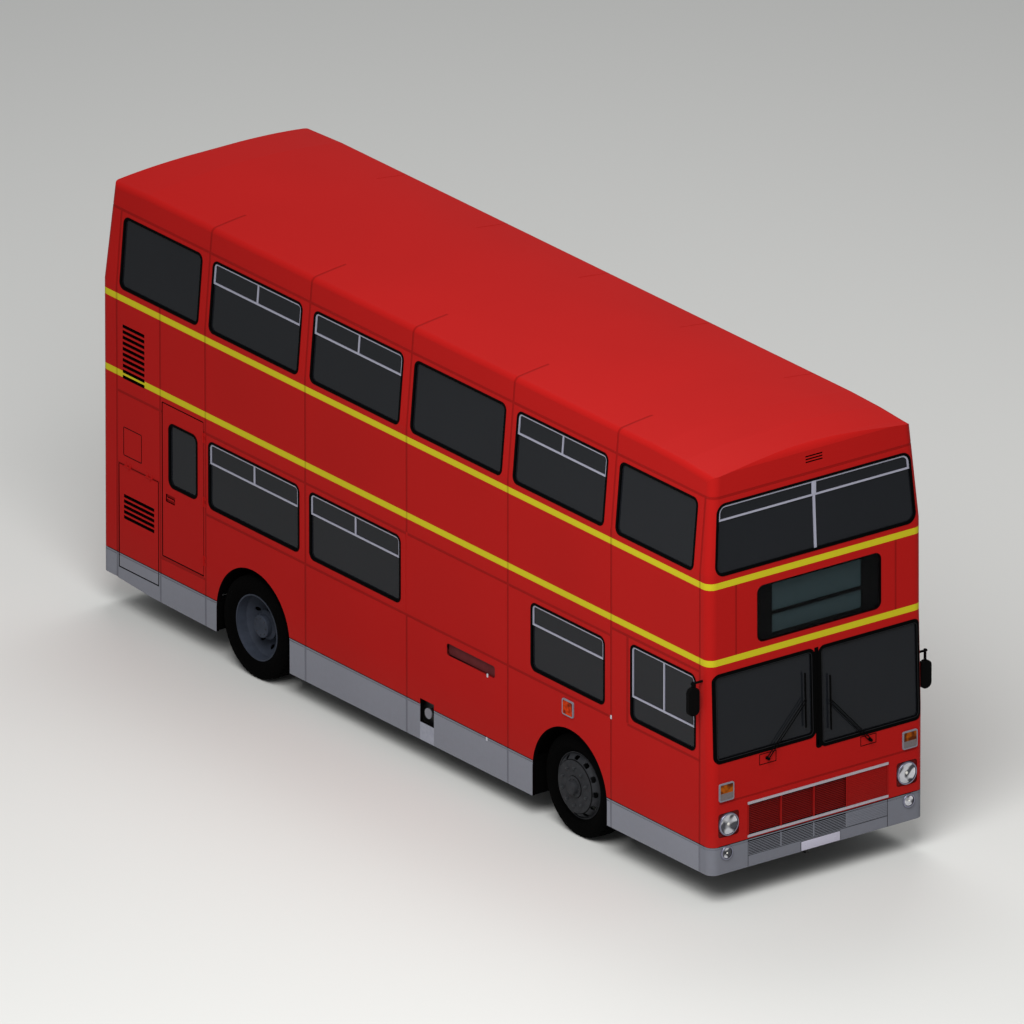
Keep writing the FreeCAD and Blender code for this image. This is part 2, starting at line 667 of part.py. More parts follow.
def side_skirts():
    front_arch = FRONT_AXLE_DISTANCE
    rear_arch = FRONT_AXLE_DISTANCE + WHEELBASE
    rear_foot = [(station(distance), height) for distance, height in REAR_SKIRT_FOOT]
    top = [(station(REAR_SEAM_DISTANCE), SKIRT_TOP), (station(rear_arch), SKIRT_TOP)]
    rear_outline = [(station(rear_arch), REAR_SKIRT_FOOT[0][1])] + rear_foot + top
    pieces = []
    for side in (OFFSIDE, NEARSIDE):
        sheet = SKIRT_SHELL.common(side_space(side, 0, SKIRT_TOP)).cut(arches())
        reach = side * (HALF_WIDTH + OVERSIZE)
        sections = [
            block(station(front_arch), station(FRONT_SEAM_DISTANCE), 0, reach, FRONT_SKIRT_FOOT, SKIRT_TOP),
            block(station(rear_arch), station(front_arch), 0, reach, MIDDLE_SKIRT_FOOT, SKIRT_TOP),
            prism("y", rear_outline, 0, reach),
        ]
        holes = [side_hole(side, ENTRANCE)]
        if side == OFFSIDE:
            holes = [side_hole(side, ENGINE_DOOR, PANEL_GAP), side_hole(side, FILLER)]
        pieces += [seamed(part) for section in sections for part in sheet.common(section).cut(holes).Solids]
    return apart(pieces)


# left edge, right edge, bottom, top of the lower grille; slots' height and pitch
BUMPER_GRILLE = (-814.0, 818.0, 440.0, 586.0)
BUMPER_SLOT = 8.0
BUMPER_PITCH = 16.0
BUMPER_SEAM = 6.0


def front_bumper():
    """The grey front skirt, with rows of slots in three bays below the grille."""
    bumper = SKIRT_SHELL.common(end_space(1, FRONT_SKIRT_FOOT, SKIRT_TOP))
    left, right, bottom, top = BUMPER_GRILLE
    posts = [left] + list(GRILLE_POSTS[1:4])
    slots = []
    for near, far in zip(posts, posts[1:]):
        level = bottom + BUMPER_SLOT
        while level + BUMPER_SLOT < top:
            slots.append(block(FRONT_X - WALL, FRONT_X + WALL, near + BUMPER_SLOT, far - BUMPER_SLOT,
                               level, level + BUMPER_SLOT))
            level += BUMPER_PITCH
    seams = [block(0, FRONT_X + OVERSIZE, edge - BUMPER_SEAM / 2, edge + BUMPER_SEAM / 2, 0, SKIRT_TOP)
             for edge in (left, right)]
    seams.append(block(0, FRONT_X + OVERSIZE, left, right, bottom - BUMPER_SEAM, bottom))
    return seamed(bumper.cut(slots + [seam.cut(SEAM_CORE) for seam in seams]))


def rear_bumper():
    return seamed(SKIRT_SHELL.common(end_space(-1, REAR_BUMPER_FOOT, SKIRT_TOP)))


# ---- Glass and window frames ----

def framed_windows():
    """Every glazed opening of both decks: (hole maker grown by an amount, its sides, light)."""
    rows = []
    for side in (OFFSIDE, NEARSIDE):
        for deck in ("lower", "upper"):
            for place, light in windows_of(side, deck):
                rows.append((lambda grow, p=place: side_window(*p, grow), place, light))
    return rows


def light_frame(place, light):
    """The space of the bright frame round a window's opening light, through the whole side."""
    side, front, rear, sill, head = place
    level = CAB_LIGHT_FOOT if light == "cab" else head - HOPPER_DROP
    outer = side_window(*place, -FRAME_WIDTH)
    ring = outer.cut(side_window(*place, -FRAME_WIDTH - HOPPER_SECTION))
    reach = (side * (HALF_WIDTH + OVERSIZE), side * (HALF_WIDTH - OVERSIZE))
    ring = ring.common(block(station(rear), station(front), *reach, level, head))
    bars = [block(station(rear), station(front), *reach, level, level + HOPPER_SECTION)]
    if light != "single":
        middle = station(CAB_LIGHT_POST if light == "cab" else (front + rear) / 2)
        bars.append(block(middle - HOPPER_SECTION / 2, middle + HOPPER_SECTION / 2, *reach, level, head))
    return ring.fuse([bar.common(outer) for bar in bars])


def front_light_frame():
    """The same for the upper front window, whose centre pillar runs its whole height."""
    outer = upper_front_window(-FRAME_WIDTH)
    level = FRONT_LIGHT_FOOT
    reach = (FRONT_X - OVERSIZE, FRONT_X + OVERSIZE)
    above = block(*reach, -HALF_WIDTH, HALF_WIDTH, level, UPPER_HEAD)
    ring = outer.cut(upper_front_window(-FRAME_WIDTH - HOPPER_SECTION)).common(above)
    bars = [block(*reach, -HALF_WIDTH, HALF_WIDTH, level, level + HOPPER_SECTION),
            block(*reach, -FRONT_PILLAR / 2, FRONT_PILLAR / 2, UPPER_FRONT_WINDOW[2], UPPER_HEAD)]
    return ring.fuse([bar.common(outer) for bar in bars])


FRONT_LIGHT_FOOT = 3832.0
FRONT_PILLAR = 26.0


def light_frames():
    """Every bright frame's space."""
    return [light_frame(place, light) for hole, place, light in framed_windows() if light] + [front_light_frame()]


LIGHT_FRAMES = light_frames()


def hopper_frames():
    """Bright aluminium frames of the opening lights."""
    return apart([part for space in LIGHT_FRAMES for part in HOPPER_SKIN.common(space).Solids])


def window_frames():
    """Black rubber round every fixed window, at both decks and both ends."""
    rings = [hole(0).cut(hole(-FRAME_WIDTH)) for hole, place, light in framed_windows()]
    for opening in (REAR_UPPER_WINDOW, REAR_LOWER_WINDOW):
        rings.append(end_window(-1, opening).cut(end_window(-1, opening, -FRAME_WIDTH)))
    rings.append(upper_front_window().cut(upper_front_window(-FRAME_WIDTH)))
    for opening in (WINDSCREEN_OFFSIDE, WINDSCREEN_NEARSIDE):
        rings.append(end_window(1, opening).cut(end_window(1, opening, -WINDSCREEN_RUBBER)))
    return apart([FRAME_SKIN.common(ring) for ring in rings])


def saloon_glass():
    spaces = [hole(-FRAME_WIDTH) for hole, place, light in framed_windows()]
    spaces += [end_window(-1, opening, -FRAME_WIDTH) for opening in (REAR_UPPER_WINDOW, REAR_LOWER_WINDOW)]
    spaces.append(upper_front_window(-FRAME_WIDTH))
    panes = []
    for space in spaces:
        crossing = [frame for frame in LIGHT_FRAMES if frame.BoundBox.intersect(space.BoundBox)]
        pane = GLASS_SKIN.common(space)
        panes += pane.cut(crossing).Solids if crossing else pane.Solids
    return apart(panes)


def windscreen():
    panes = [GLASS_SKIN.common(end_window(1, opening, -WINDSCREEN_RUBBER)).common(end_space(1, 0, DECK_SEAM))
             for opening in (WINDSCREEN_OFFSIDE, WINDSCREEN_NEARSIDE)]
    return apart(panes)


# ---- Destination box, grille and lamps ----

DESTINATION_DEPTH = 240.0
DESTINATION_SKIN = 20.0
DESTINATION_MASK = 12.0
# left edge, right edge, bottom, top of the two displays, which share their sides
DISPLAY_CORNER = 12.0
DISPLAYS = ((-476.0, 570.0, 2562.0, 2748.0), (-476.0, 570.0, 2781.0, 3055.0))


def destination_box():
    """The blind box: a case whose front is a mask round two displays, behind a pane of glass."""
    y0, y1, bottom, top = DESTINATION
    case = INNER.cut(hull(WALL + DESTINATION_DEPTH)).common(
        block(FRONT_X - OVERSIZE - DESTINATION_DEPTH, FRONT_X, y0 - DESTINATION_SKIN,
              y1 + DESTINATION_SKIN, UPPER_FLOOR_TOP, top + DESTINATION_SKIN))
    hollow = block(FRONT_X - WALL - DESTINATION_DEPTH, FRONT_X, y0, y1, UPPER_FLOOR_TOP + DESTINATION_SKIN, top)
    case = case.cut(hollow.common(hull(WALL + DESTINATION_MASK)))
    for display in DISPLAYS:
        case = case.cut(end_window(1, display, 0.0, DISPLAY_CORNER))
    return apart([case, GLASS_SKIN.common(end_window(1, DESTINATION))])


GRILLE_TRIM = 24.0
GRILLE_STANDOUT = 9.0
GRILLE_SINK = 24.0
GRILLE_POST = 16.0
GRILLE_POSTS = (-823.0, -430.0, -46.0, 337.0, 823.0)
BLADE = 7.0
BLADE_PITCH = 18.0
BLADE_SINK = 6.0


def grille_opening(grille):
    """The hole behind the grille's three open bays; the fourth is plain panel."""
    return block(FRONT_X - OVERSIZE, FRONT_X + OVERSIZE, GRILLE_POSTS[0] + GRILLE_POST / 2,
                 GRILLE_POSTS[3] - GRILLE_POST / 2, grille[2] + GRILLE_TRIM / 2, grille[3] - GRILLE_TRIM / 2)


def front_grille():
    """Two trim rails and posts on the front panel, with level blades sunk into the open bays."""
    y0, y1, bottom, top = GRILLE
    front = FRONT_X + GRILLE_STANDOUT
    foot, head = bottom + GRILLE_TRIM / 2, top - GRILLE_TRIM / 2
    rails = [block(FRONT_X, front, y0, y1, level - GRILLE_TRIM / 2, level + GRILLE_TRIM / 2)
             for level in (bottom, top)]
    posts = [block(FRONT_X - GRILLE_SINK, FRONT_X + GRILLE_STANDOUT / 2, y - GRILLE_POST / 2,
                   y + GRILLE_POST / 2, foot, head) for y in GRILLE_POSTS[1:3]]
    posts += [block(FRONT_X, FRONT_X + GRILLE_STANDOUT / 2, y - side * GRILLE_POST, y, foot, head)
              for y, side in ((y0, -1), (y1, 1))]
    posts.append(block(FRONT_X, FRONT_X + GRILLE_STANDOUT / 2, GRILLE_POSTS[3] - GRILLE_POST / 2,
                       GRILLE_POSTS[3] + GRILLE_POST / 2, foot, head))
    blades = []
    level = foot + BLADE_PITCH / 2
    while level + BLADE < head:
        blades.append(block(FRONT_X - GRILLE_SINK, FRONT_X - BLADE_SINK, y0 + GRILLE_POST / 2,
                            GRILLE_POSTS[3] - GRILLE_POST / 2, level, level + BLADE))
        level += BLADE_PITCH
    return joined(rails + posts + blades)


HEADLAMP_CENTRE = (1043.0, 813.0)
HEADLAMP_WELL = 120.0
HEADLAMP_SINK = 10.0
HEADLAMP_RADIUS = 113.0
FOG_LAMP_CENTRE = (1066.0, 530.0)
FOG_LAMP_RADIUS = 69.0
LAMP_STANDOUT = 14.0
LAMP_BEZEL = 14.0


def round_lamp(y, z, radius, foot):
    """A rounded bezel and the domed glass inside it; foot is the X of the panel behind."""
    crest = FRONT_X + LAMP_STANDOUT
    glass_radius = radius - LAMP_BEZEL
    drum = Part.makeCylinder(radius, crest - foot, Vector(foot, y, z), Vector(1, 0, 0))
    ring = drum.makeFillet(LAMP_BEZEL / 2, [edge for edge in drum.Edges if edge.BoundBox.XMin > crest - 1])
    ring = ring.cut(Part.makeCylinder(glass_radius, 2 * OVERSIZE, Vector(FRONT_X - OVERSIZE, y, z), Vector(1, 0, 0)))
    rise = LAMP_STANDOUT - 2
    ball = (glass_radius ** 2 + rise ** 2) / (2 * rise)
    glass = Part.makeCylinder(glass_radius, crest - foot, Vector(foot, y, z), Vector(1, 0, 0))
    return [ring, glass.common(Part.makeSphere(ball, Vector(FRONT_X + rise - ball, y, z)))]


def headlamps():
    """Head lamps in shallow wells and fog lamps in the bumper, each a bezel and a glass."""
    lamps = []
    for side in (OFFSIDE, NEARSIDE):
        lamps += round_lamp(side * HEADLAMP_CENTRE[0], HEADLAMP_CENTRE[1], HEADLAMP_RADIUS,
                            FRONT_X - HEADLAMP_SINK)
        lamps += round_lamp(side * FOG_LAMP_CENTRE[0], FOG_LAMP_CENTRE[1], FOG_LAMP_RADIUS, FRONT_X)
    return apart(lamps)


LAMP_FRAME = 13.0
LAMP_CORNER = 18.0
LENS_STANDOUT = 11.0


def framed_lamp(axis, a0, a1, b0, b1, face, split=0.0):
    """A rounded frame and its lens, which may be two lenses one above the other."""
    sign = 1 if face > 0 else -1
    frame = rounded_prism(axis, a0, a1, b0, b1, face, face + sign * LAMP_STANDOUT, LAMP_CORNER)
    well = rounded_prism(axis, a0 + LAMP_FRAME, a1 - LAMP_FRAME, b0 + LAMP_FRAME, b1 - LAMP_FRAME,
                         face - sign * OVERSIZE, face + sign * OVERSIZE, LAMP_CORNER - LAMP_FRAME / 2)
    lens = well.common(rounded_prism(axis, a0, a1, b0, b1, face, face + sign * LENS_STANDOUT, LAMP_CORNER))
    if not split:
        return [frame.cut(well), lens]
    upper = block(-BODY_LENGTH, BODY_LENGTH, -BODY_WIDTH, BODY_WIDTH, split, BODY_HEIGHT)
    return [frame.cut(well), lens.common(upper), lens.cut(upper)]


# end, centre across, width, bottom, top, height where an amber lens meets a white one
END_INDICATORS = ((1, 1074.0, 172.0, 1057.0, 1236.0, 1135.0), (-1, 1110.0, 100.0, 1260.0, 1400.0, 0.0))
SIDE_INDICATOR = (2112.0, 2284.0, 1232.0, 1393.0)


def indicator_lamps():
    lamps = []
    for end, y, width, bottom, top, split in END_INDICATORS:
        for side in (OFFSIDE, NEARSIDE):
            lamps += framed_lamp("x", side * y - width / 2, side * y + width / 2, bottom, top,
                                 end * FRONT_X, split)
    front, rear, bottom, top = SIDE_INDICATOR
    for side in (OFFSIDE, NEARSIDE):
        lamps += framed_lamp("y", station(rear), station(front), bottom, top, side * HALF_WIDTH)
    return apart(lamps)


# centre across, width, bottom, top
TAIL_LAMP = (1110.0, 100.0, 1040.0, 1240.0)


def tail_lamps():
    y, width, bottom, top = TAIL_LAMP
    return apart([part for side in (OFFSIDE, NEARSIDE)
                  for part in framed_lamp("x", side * y - width / 2, side * y + width / 2, bottom, top, REAR_X)])


# ---- Doors and covers ----

def emergency_door():
    """The emergency door, with a lever sunk in a small well and half of each hinge."""
    door = SHELL.common(side_hole(OFFSIDE, EMERGENCY_DOOR))
    front, rear, bottom, top = HANDLE_WELL
    well = recess("y", station(rear), station(front), bottom, top, -HALF_WIDTH, HANDLE_DEPTH, HANDLE_CORNER)
    middle = (bottom + top) / 2
    lever = block(station(rear) + HANDLE_DEPTH, station(front) - HANDLE_DEPTH, -HALF_WIDTH + HANDLE_DEPTH,
                  -HALF_WIDTH, middle - HANDLE_DEPTH / 2, middle + HANDLE_DEPTH / 2)
    door = door.cut([side_window(OFFSIDE, *EMERGENCY_WINDOW), well])
    return joined([door, lever] + [part for hinge in door_hinges() for part in hinge[1]])


def engine_side_door():
    """The engine bay's side door, with a louvre and half of each hinge."""
    door = SHELL.common(side_hole(OFFSIDE, ENGINE_DOOR))
    door = seamed(door.cut(side_louvre(ENGINE_DOOR_LOUVRE)))
    return joined([door] + [part for hinge in engine_door_hinges() for part in hinge[1]])


HANDLE_WELL = (8367.0, 8509.0, 1363.0, 1443.0)
HANDLE_DEPTH = 14.0
HANDLE_CORNER = 10.0
COVER_HANDLE_HALF = 160.0
COVER_HANDLE_RADIUS = 10.0


def engine_cover():
    """The lid over the engine's rear: two louvres, a pull handle and half of each hinge."""
    y0, y1, bottom, top = ENGINE_COVER
    lid = SHELL.common(block(REAR_X - OVERSIZE, REAR_X + OVERSIZE, y0, y1, bottom, top))
    near, far, foot, pitch, slots = COVER_LOUVRE
    for slot in range(slots):
        low, high = foot + slot * pitch, foot + slot * pitch + LOUVRE_SLOT
        inner = REAR_X + OVERSIZE
        outline = [(REAR_X - OVERSIZE, low), (REAR_X, low), (inner, low + WALL), (inner, high + WALL),
                   (REAR_X, high), (REAR_X - OVERSIZE, high)]
        lid = lid.cut([prism("y", outline, side * near, side * far) for side in (OFFSIDE, NEARSIDE)])
    grip_x = REAR_X - STANDOUT + COVER_HANDLE_RADIUS
    level = bottom + 4 * COVER_HANDLE_RADIUS
    ends = [Vector(grip_x, side * COVER_HANDLE_HALF, level) for side in (OFFSIDE, NEARSIDE)]
    grip = rod(ends[0], ends[1], COVER_HANDLE_RADIUS)
    feet = [block(REAR_X, grip_x, end.y - side * 2 * COVER_HANDLE_RADIUS, end.y, level - COVER_HANDLE_RADIUS / 2,
                  level + COVER_HANDLE_RADIUS / 2) for end, side in zip(ends, (OFFSIDE, NEARSIDE))]
    return joined([lid, grip] + feet + [part for hinge in cover_hinges() for part in hinge[1]])


def leaf_edges():
    """X of the four leaves' ends, front leaf first: (front end, rear end)."""
    front, rear, bottom, top = ENTRANCE
    width = (rear - front - 4 * LEAF_GAP - MEETING_GAP) / 4
    edges = []
    start = station(front) - LEAF_GAP
    for gap in (LEAF_GAP, MEETING_GAP, LEAF_GAP, LEAF_GAP):
        edges.append((start, start - width))
        start -= width + gap
    return edges


def entrance_leaf(number):
    """One of four folding leaves: a frame round a tall window."""
    front, rear, bottom, top = ENTRANCE
    ahead, behind = leaf_edges()[number - 1]
    outer = HALF_WIDTH - LEAF_OUTER_INSET
    leaf = block(behind, ahead, outer - LEAF_THICKNESS, outer, STEP_HEIGHTS[0] + LEAF_GAP, top - LEAF_GAP)
    return leaf.cut(leaf_windows(number, outer - 2 * LEAF_THICKNESS, outer + LEAF_THICKNESS))


def leaf_windows(number, inner, outer):
    """A leaf's lower and upper window, between two distances from the centre line."""
    ahead, behind = leaf_edges()[number - 1]
    foot = STEP_HEIGHTS[0] + LEAF_GAP + 2 * LEAF_RAIL
    head = ENTRANCE[3] - LEAF_GAP - 2 * LEAF_RAIL
    spans = ((foot, LEAF_MIDDLE - LEAF_RAIL / 2), (LEAF_MIDDLE + LEAF_RAIL / 2, head))
    return [rounded_prism("y", behind + LEAF_RAIL, ahead - LEAF_RAIL, bottom, top, inner, outer, LEAF_CORNER)
            for bottom, top in spans]


def entrance_glass(number):
    middle = HALF_WIDTH - LEAF_OUTER_INSET - LEAF_THICKNESS / 2
    return apart(leaf_windows(number, middle - GLASS_THICKNESS / 2, middle + GLASS_THICKNESS / 2))


def emergency_door_glass():
    return GLASS_SKIN.common(side_window(OFFSIDE, *EMERGENCY_WINDOW))


# ---- Floors, wheel boxes and stairs ----

WHEEL_BOX_SHEET = 20.0
# axle's distance, inner wall's Y, radius of the inside, foot height
WHEEL_BOXES = (
    (FRONT_AXLE_DISTANCE, HALF_WIDTH - 750.0, TYRE_RADIUS + 115.0, 450.0),
    (FRONT_AXLE_DISTANCE + WHEELBASE, HALF_WIDTH - 650.0, TYRE_RADIUS + 85.0, 650.0),
)


def wheel_box_space(row, grow):
    """The hollow of one pair of wheel boxes on the nearside, made larger by grow."""
    distance, inner, radius, foot = row
    x = station(distance)
    start = Vector(x, inner + WHEEL_BOX_SHEET - grow, AXLE_HEIGHT)
    depth = INNER_HALF_WIDTH - inner - WHEEL_BOX_SHEET + grow
    round_top = Part.makeCylinder(radius + grow, depth, start, Vector(0, 1, 0))
    below = block(x - radius - grow, x + radius + grow, start.y, start.y + depth, 0, AXLE_HEIGHT)
    above = block(x - 2 * radius, x + 2 * radius, 0, HALF_WIDTH, foot, BODY_HEIGHT)
    return round_top.fuse(below).common(above)


def wheel_boxes():
    pieces = []
    for row in WHEEL_BOXES:
        sheet = wheel_box_space(row, WHEEL_BOX_SHEET).cut(wheel_box_space(row, 0.0))
        pieces += [sheet, mirrored(sheet)]
    return apart(pieces)


def inside(shape):
    """The part of a shape that lies within the body's inner faces."""
    return shape.common(INNER)


def lower_floor():
    """Saloon floor with its step up at the rear axle, the engine's bulkhead and its deck."""
    bulkhead = station(ENGINE_BULKHEAD_DISTANCE)
    step = station(FLOOR_STEP_DISTANCE)
    outline = [
        (FRONT_X, LOWER_FLOOR_TOP), (step, LOWER_FLOOR_TOP), (step, REAR_FLOOR_TOP),
        (bulkhead, REAR_FLOOR_TOP), (bulkhead, ENGINE_DECK_TOP), (REAR_X, ENGINE_DECK_TOP),
        (REAR_X, ENGINE_DECK_TOP - WALL), (bulkhead - WALL, ENGINE_DECK_TOP - WALL),
        (bulkhead - WALL, REAR_FLOOR_TOP - FLOOR_THICKNESS),
        (step - WALL, REAR_FLOOR_TOP - FLOOR_THICKNESS), (step - WALL, LOWER_FLOOR_TOP - FLOOR_THICKNESS),
        (FRONT_X, LOWER_FLOOR_TOP - FLOOR_THICKNESS),
    ]
    floor = inside(prism("y", outline, -HALF_WIDTH, HALF_WIDTH))
    front, rear, bottom, top = ENTRANCE
    well_inner = INNER_HALF_WIDTH - STEP_TREAD_DEPTH - STEP_TREAD_DEPTH * 0.75
    well = block(station(rear), station(front), well_inner, HALF_WIDTH, 0, LOWER_FLOOR_TOP + 1)
    holes = [wheel_box_space(row, WHEEL_BOX_SHEET) for row in WHEEL_BOXES]
    floor = floor.cut(holes + [mirrored(hole) for hole in holes] + [well])
    return joined([floor, entrance_steps(well_inner)])


def entrance_steps(well_inner):
    """Two treads and their risers, from the doorway's sill up to the floor."""
    front, rear, bottom, top = ENTRANCE
    first, second = STEP_HEIGHTS
    sheet = 20.0
    nosing = INNER_HALF_WIDTH - STEP_TREAD_DEPTH
    outline = [
        (HALF_WIDTH - LEAF_OUTER_INSET, first), (nosing, first), (nosing, second), (well_inner, second),
        (well_inner, LOWER_FLOOR_TOP), (well_inner - sheet, LOWER_FLOOR_TOP),
        (well_inner - sheet, second - sheet), (nosing - sheet, second - sheet),
        (nosing - sheet, first - sheet), (HALF_WIDTH - LEAF_OUTER_INSET, first - sheet),
    ]
    return prism("x", outline, station(rear), station(front))


STAIRWELL = (2880.0, 4640.0, 10.0 - INNER_HALF_WIDTH, 610.0 - INNER_HALF_WIDTH)
STAIR_STEPS = 9
STAIR_THICKNESS = 70.0


def upper_floor():
    plate = inside(block(REAR_X, FRONT_X, -HALF_WIDTH, HALF_WIDTH,
                         UPPER_FLOOR_TOP - FLOOR_THICKNESS, UPPER_FLOOR_TOP))
    front, rear, y0, y1 = STAIRWELL
    return plate.cut(block(station(rear), station(front), -HALF_WIDTH, y1, 0, BODY_HEIGHT))


def staircase():
    """A straight flight behind the driver, climbing to the rear."""
    front, rear, y0, y1 = STAIRWELL
    rise = (UPPER_FLOOR_TOP - LOWER_FLOOR_TOP) / (STAIR_STEPS + 1)
    going = (rear - front) / STAIR_STEPS
    outline = [(station(front), LOWER_FLOOR_TOP)]
    for step in range(STAIR_STEPS):
        x = station(front) - step * going
        outline += [(x, LOWER_FLOOR_TOP + (step + 1) * rise), (x - going, LOWER_FLOOR_TOP + (step + 1) * rise)]
    last_tread = LOWER_FLOOR_TOP + STAIR_STEPS * rise
    outline[-1] = (station(rear) + STAIR_THICKNESS, last_tread)
    outline += [(station(rear) + STAIR_THICKNESS, UPPER_FLOOR_TOP), (station(rear), UPPER_FLOOR_TOP),
                (station(rear), last_tread - STAIR_THICKNESS - rise), (station(front) - going, LOWER_FLOOR_TOP)]
    return prism("y", outline, y0, y1)


# ---- Chassis and engine ----

RAIL_INNER = 380.0
RAIL_OUTER = 460.0
RAIL_DEPTH = 180.0
RAIL_FRONT_DISTANCE = 320.0
RAIL_REAR_DISTANCE = BODY_LENGTH - 150.0
KICK_UP = 180.0
CROSSMEMBER_DISTANCES = (400.0, 1300.0, 3100.0, 4200.0, 5400.0, 6200.0, 8120.0, 8520.0, BODY_LENGTH - 190.0)
MEMBER_WIDTH = 80.0
MEMBER_DEPTH = 90.0
MEMBER_DROP = 60.0
JACK_PAD_DISTANCE = 3100.0
JACK_PAD_HALF = 75.0
JACK_PAD_SHEET = 12.0


def member_top(distance):
    """A cross-member's top, which lies a little below the floor that it carries."""
    floor = REAR_FLOOR_TOP if distance > FLOOR_STEP_DISTANCE else LOWER_FLOOR_TOP
    return floor - FLOOR_THICKNESS - MEMBER_DROP


def chassis_frame():
    """Two rails that rise over the rear axle, tied by cross-members, with a jacking pad under each."""
    floor = LOWER_FLOOR_TOP - FLOOR_THICKNESS
    rear_floor = REAR_FLOOR_TOP - FLOOR_THICKNESS
    axle = FRONT_AXLE_DISTANCE + WHEELBASE
    rear_step = FLOOR_STEP_DISTANCE + KICK_UP
    outline = [
        (station(RAIL_FRONT_DISTANCE), floor), (station(FLOOR_STEP_DISTANCE + WALL), floor),
        (station(rear_step), rear_floor), (station(RAIL_REAR_DISTANCE), rear_floor),
        (station(RAIL_REAR_DISTANCE), rear_floor - RAIL_DEPTH),
        (station(axle + 2 * KICK_UP), rear_floor - RAIL_DEPTH), (station(axle + KICK_UP), rear_floor - RAIL_DEPTH / 2),
        (station(axle - KICK_UP), rear_floor - RAIL_DEPTH / 2),
        (station(FLOOR_STEP_DISTANCE), floor - RAIL_DEPTH), (station(RAIL_FRONT_DISTANCE), floor - RAIL_DEPTH),
    ]
    rails = [prism("y", outline, side * RAIL_INNER, side * RAIL_OUTER) for side in (OFFSIDE, NEARSIDE)]
    pad = station(JACK_PAD_DISTANCE)
    rails += [block(pad - JACK_PAD_HALF, pad + JACK_PAD_HALF, side * RAIL_INNER, side * RAIL_OUTER,
                    floor - RAIL_DEPTH - JACK_PAD_SHEET, floor - RAIL_DEPTH) for side in (OFFSIDE, NEARSIDE)]
    members = []
    for distance in CROSSMEMBER_DISTANCES:
        x, top = station(distance), member_top(distance)
        members.append(block(x - MEMBER_WIDTH / 2, x + MEMBER_WIDTH / 2, -RAIL_INNER, RAIL_INNER,
                             top - MEMBER_DEPTH, top))
    return joined(rails + members + [tow_eye(1), tow_eye(-1)])


TOW_EYE_RADIUS = 21.0
TOW_EYE_THICKNESS = 30.0
TOW_EYE_HEIGHT = 270.0
# end: distance of the hole; the plate hangs from the cross-member nearest that end
TOW_EYES = {1: 225.0, -1: BODY_LENGTH - 120.0}


def tow_eye(end):
    """An upright plate on the centre line, with a cross hole for a towing pin."""
    hole = station(TOW_EYES[end])
    member = CROSSMEMBER_DISTANCES[0 if end > 0 else -1]
    top = member_top(member)
    nose = 3 * TOW_EYE_RADIUS
    near, far = station(member) + end * MEMBER_WIDTH / 2, station(member) - end * MEMBER_WIDTH / 2
    outline = [(hole + end * nose, TOW_EYE_HEIGHT - nose), (hole + end * nose, TOW_EYE_HEIGHT + nose),
               (near, top), (far, top), (far, top - MEMBER_DEPTH), (hole - end * nose, TOW_EYE_HEIGHT - nose)]
    bore = rod(Vector(hole, -OVERSIZE, TOW_EYE_HEIGHT), Vector(hole, OVERSIZE, TOW_EYE_HEIGHT), TOW_EYE_RADIUS)
    return prism("y", outline, -TOW_EYE_THICKNESS / 2, TOW_EYE_THICKNESS / 2).cut(bore)


ENGINE_SPACE = (ENGINE_BULKHEAD_DISTANCE + WALL + 25.0, BODY_LENGTH - 290.0, 430.0, 1400.0)


def engine():
    front, rear, bottom, top = ENGINE_SPACE
    half = RAIL_INNER - 5
    return block(station(rear), station(front), -half, half, bottom, top)


FUEL_TANK = (4150.0, 5150.0, 330.0, 620.0)


FUEL_TANK_SIDES = (20.0 - INNER_HALF_WIDTH, 680.0 - INNER_HALF_WIDTH)
FUEL_TANK_CORNER = 60.0
FILLER_PLATE = 12.0
FILLER_NECK_RADIUS = 42.0
FILLER_CAP_RADIUS = 52.0
FILLER_CAP_SINK = 8.0


def fuel_tank():
    """The tank between rail and skirt, with its filler plate, neck and cap."""
    front, rear, bottom, top = FUEL_TANK
    outer, inner = FUEL_TANK_SIDES
    tank = rounded_prism("x", outer, inner, bottom, top, station(rear), station(front), FUEL_TANK_CORNER)
    plate_front, plate_rear, foot, head = FILLER
    plate = block(station(plate_rear), station(plate_front), outer - FILLER_PLATE / 2, outer + FILLER_PLATE / 2,
                  foot, min(head, LOWER_FLOOR_TOP - FLOOR_THICKNESS))
    distance, height = FILLER_CAP
    cap_face = FILLER_CAP_SINK - HALF_WIDTH
    middle = Vector(station(distance), outer, height)
    neck = rod(middle, Vector(middle.x, cap_face, height), FILLER_NECK_RADIUS)
    cap = rod(Vector(middle.x, cap_face + FILLER_PLATE, height), Vector(middle.x, cap_face, height), FILLER_CAP_RADIUS)
    return joined([tank, plate, neck, cap])


# ---- Axles, steering and wheels ----

KINGPIN_RADIUS = 25.0
KINGPIN_BOSS = 48.0
SPINDLE_RADIUS = 45.0
LUG_GAP = 6.0
LUG_HEIGHT = 40.0
BOSS_HEIGHT = 150.0
ARM_LENGTH = 220.0
BALL_PIN_RADIUS = 14.0
TRACK_ROD_RADIUS = 20.0
ROD_EYE_HEIGHT = 56.0
ROD_EYE_RADIUS = 32.0
BEAM_DROP = 195.0
BEAM_DEPTH = 90.0

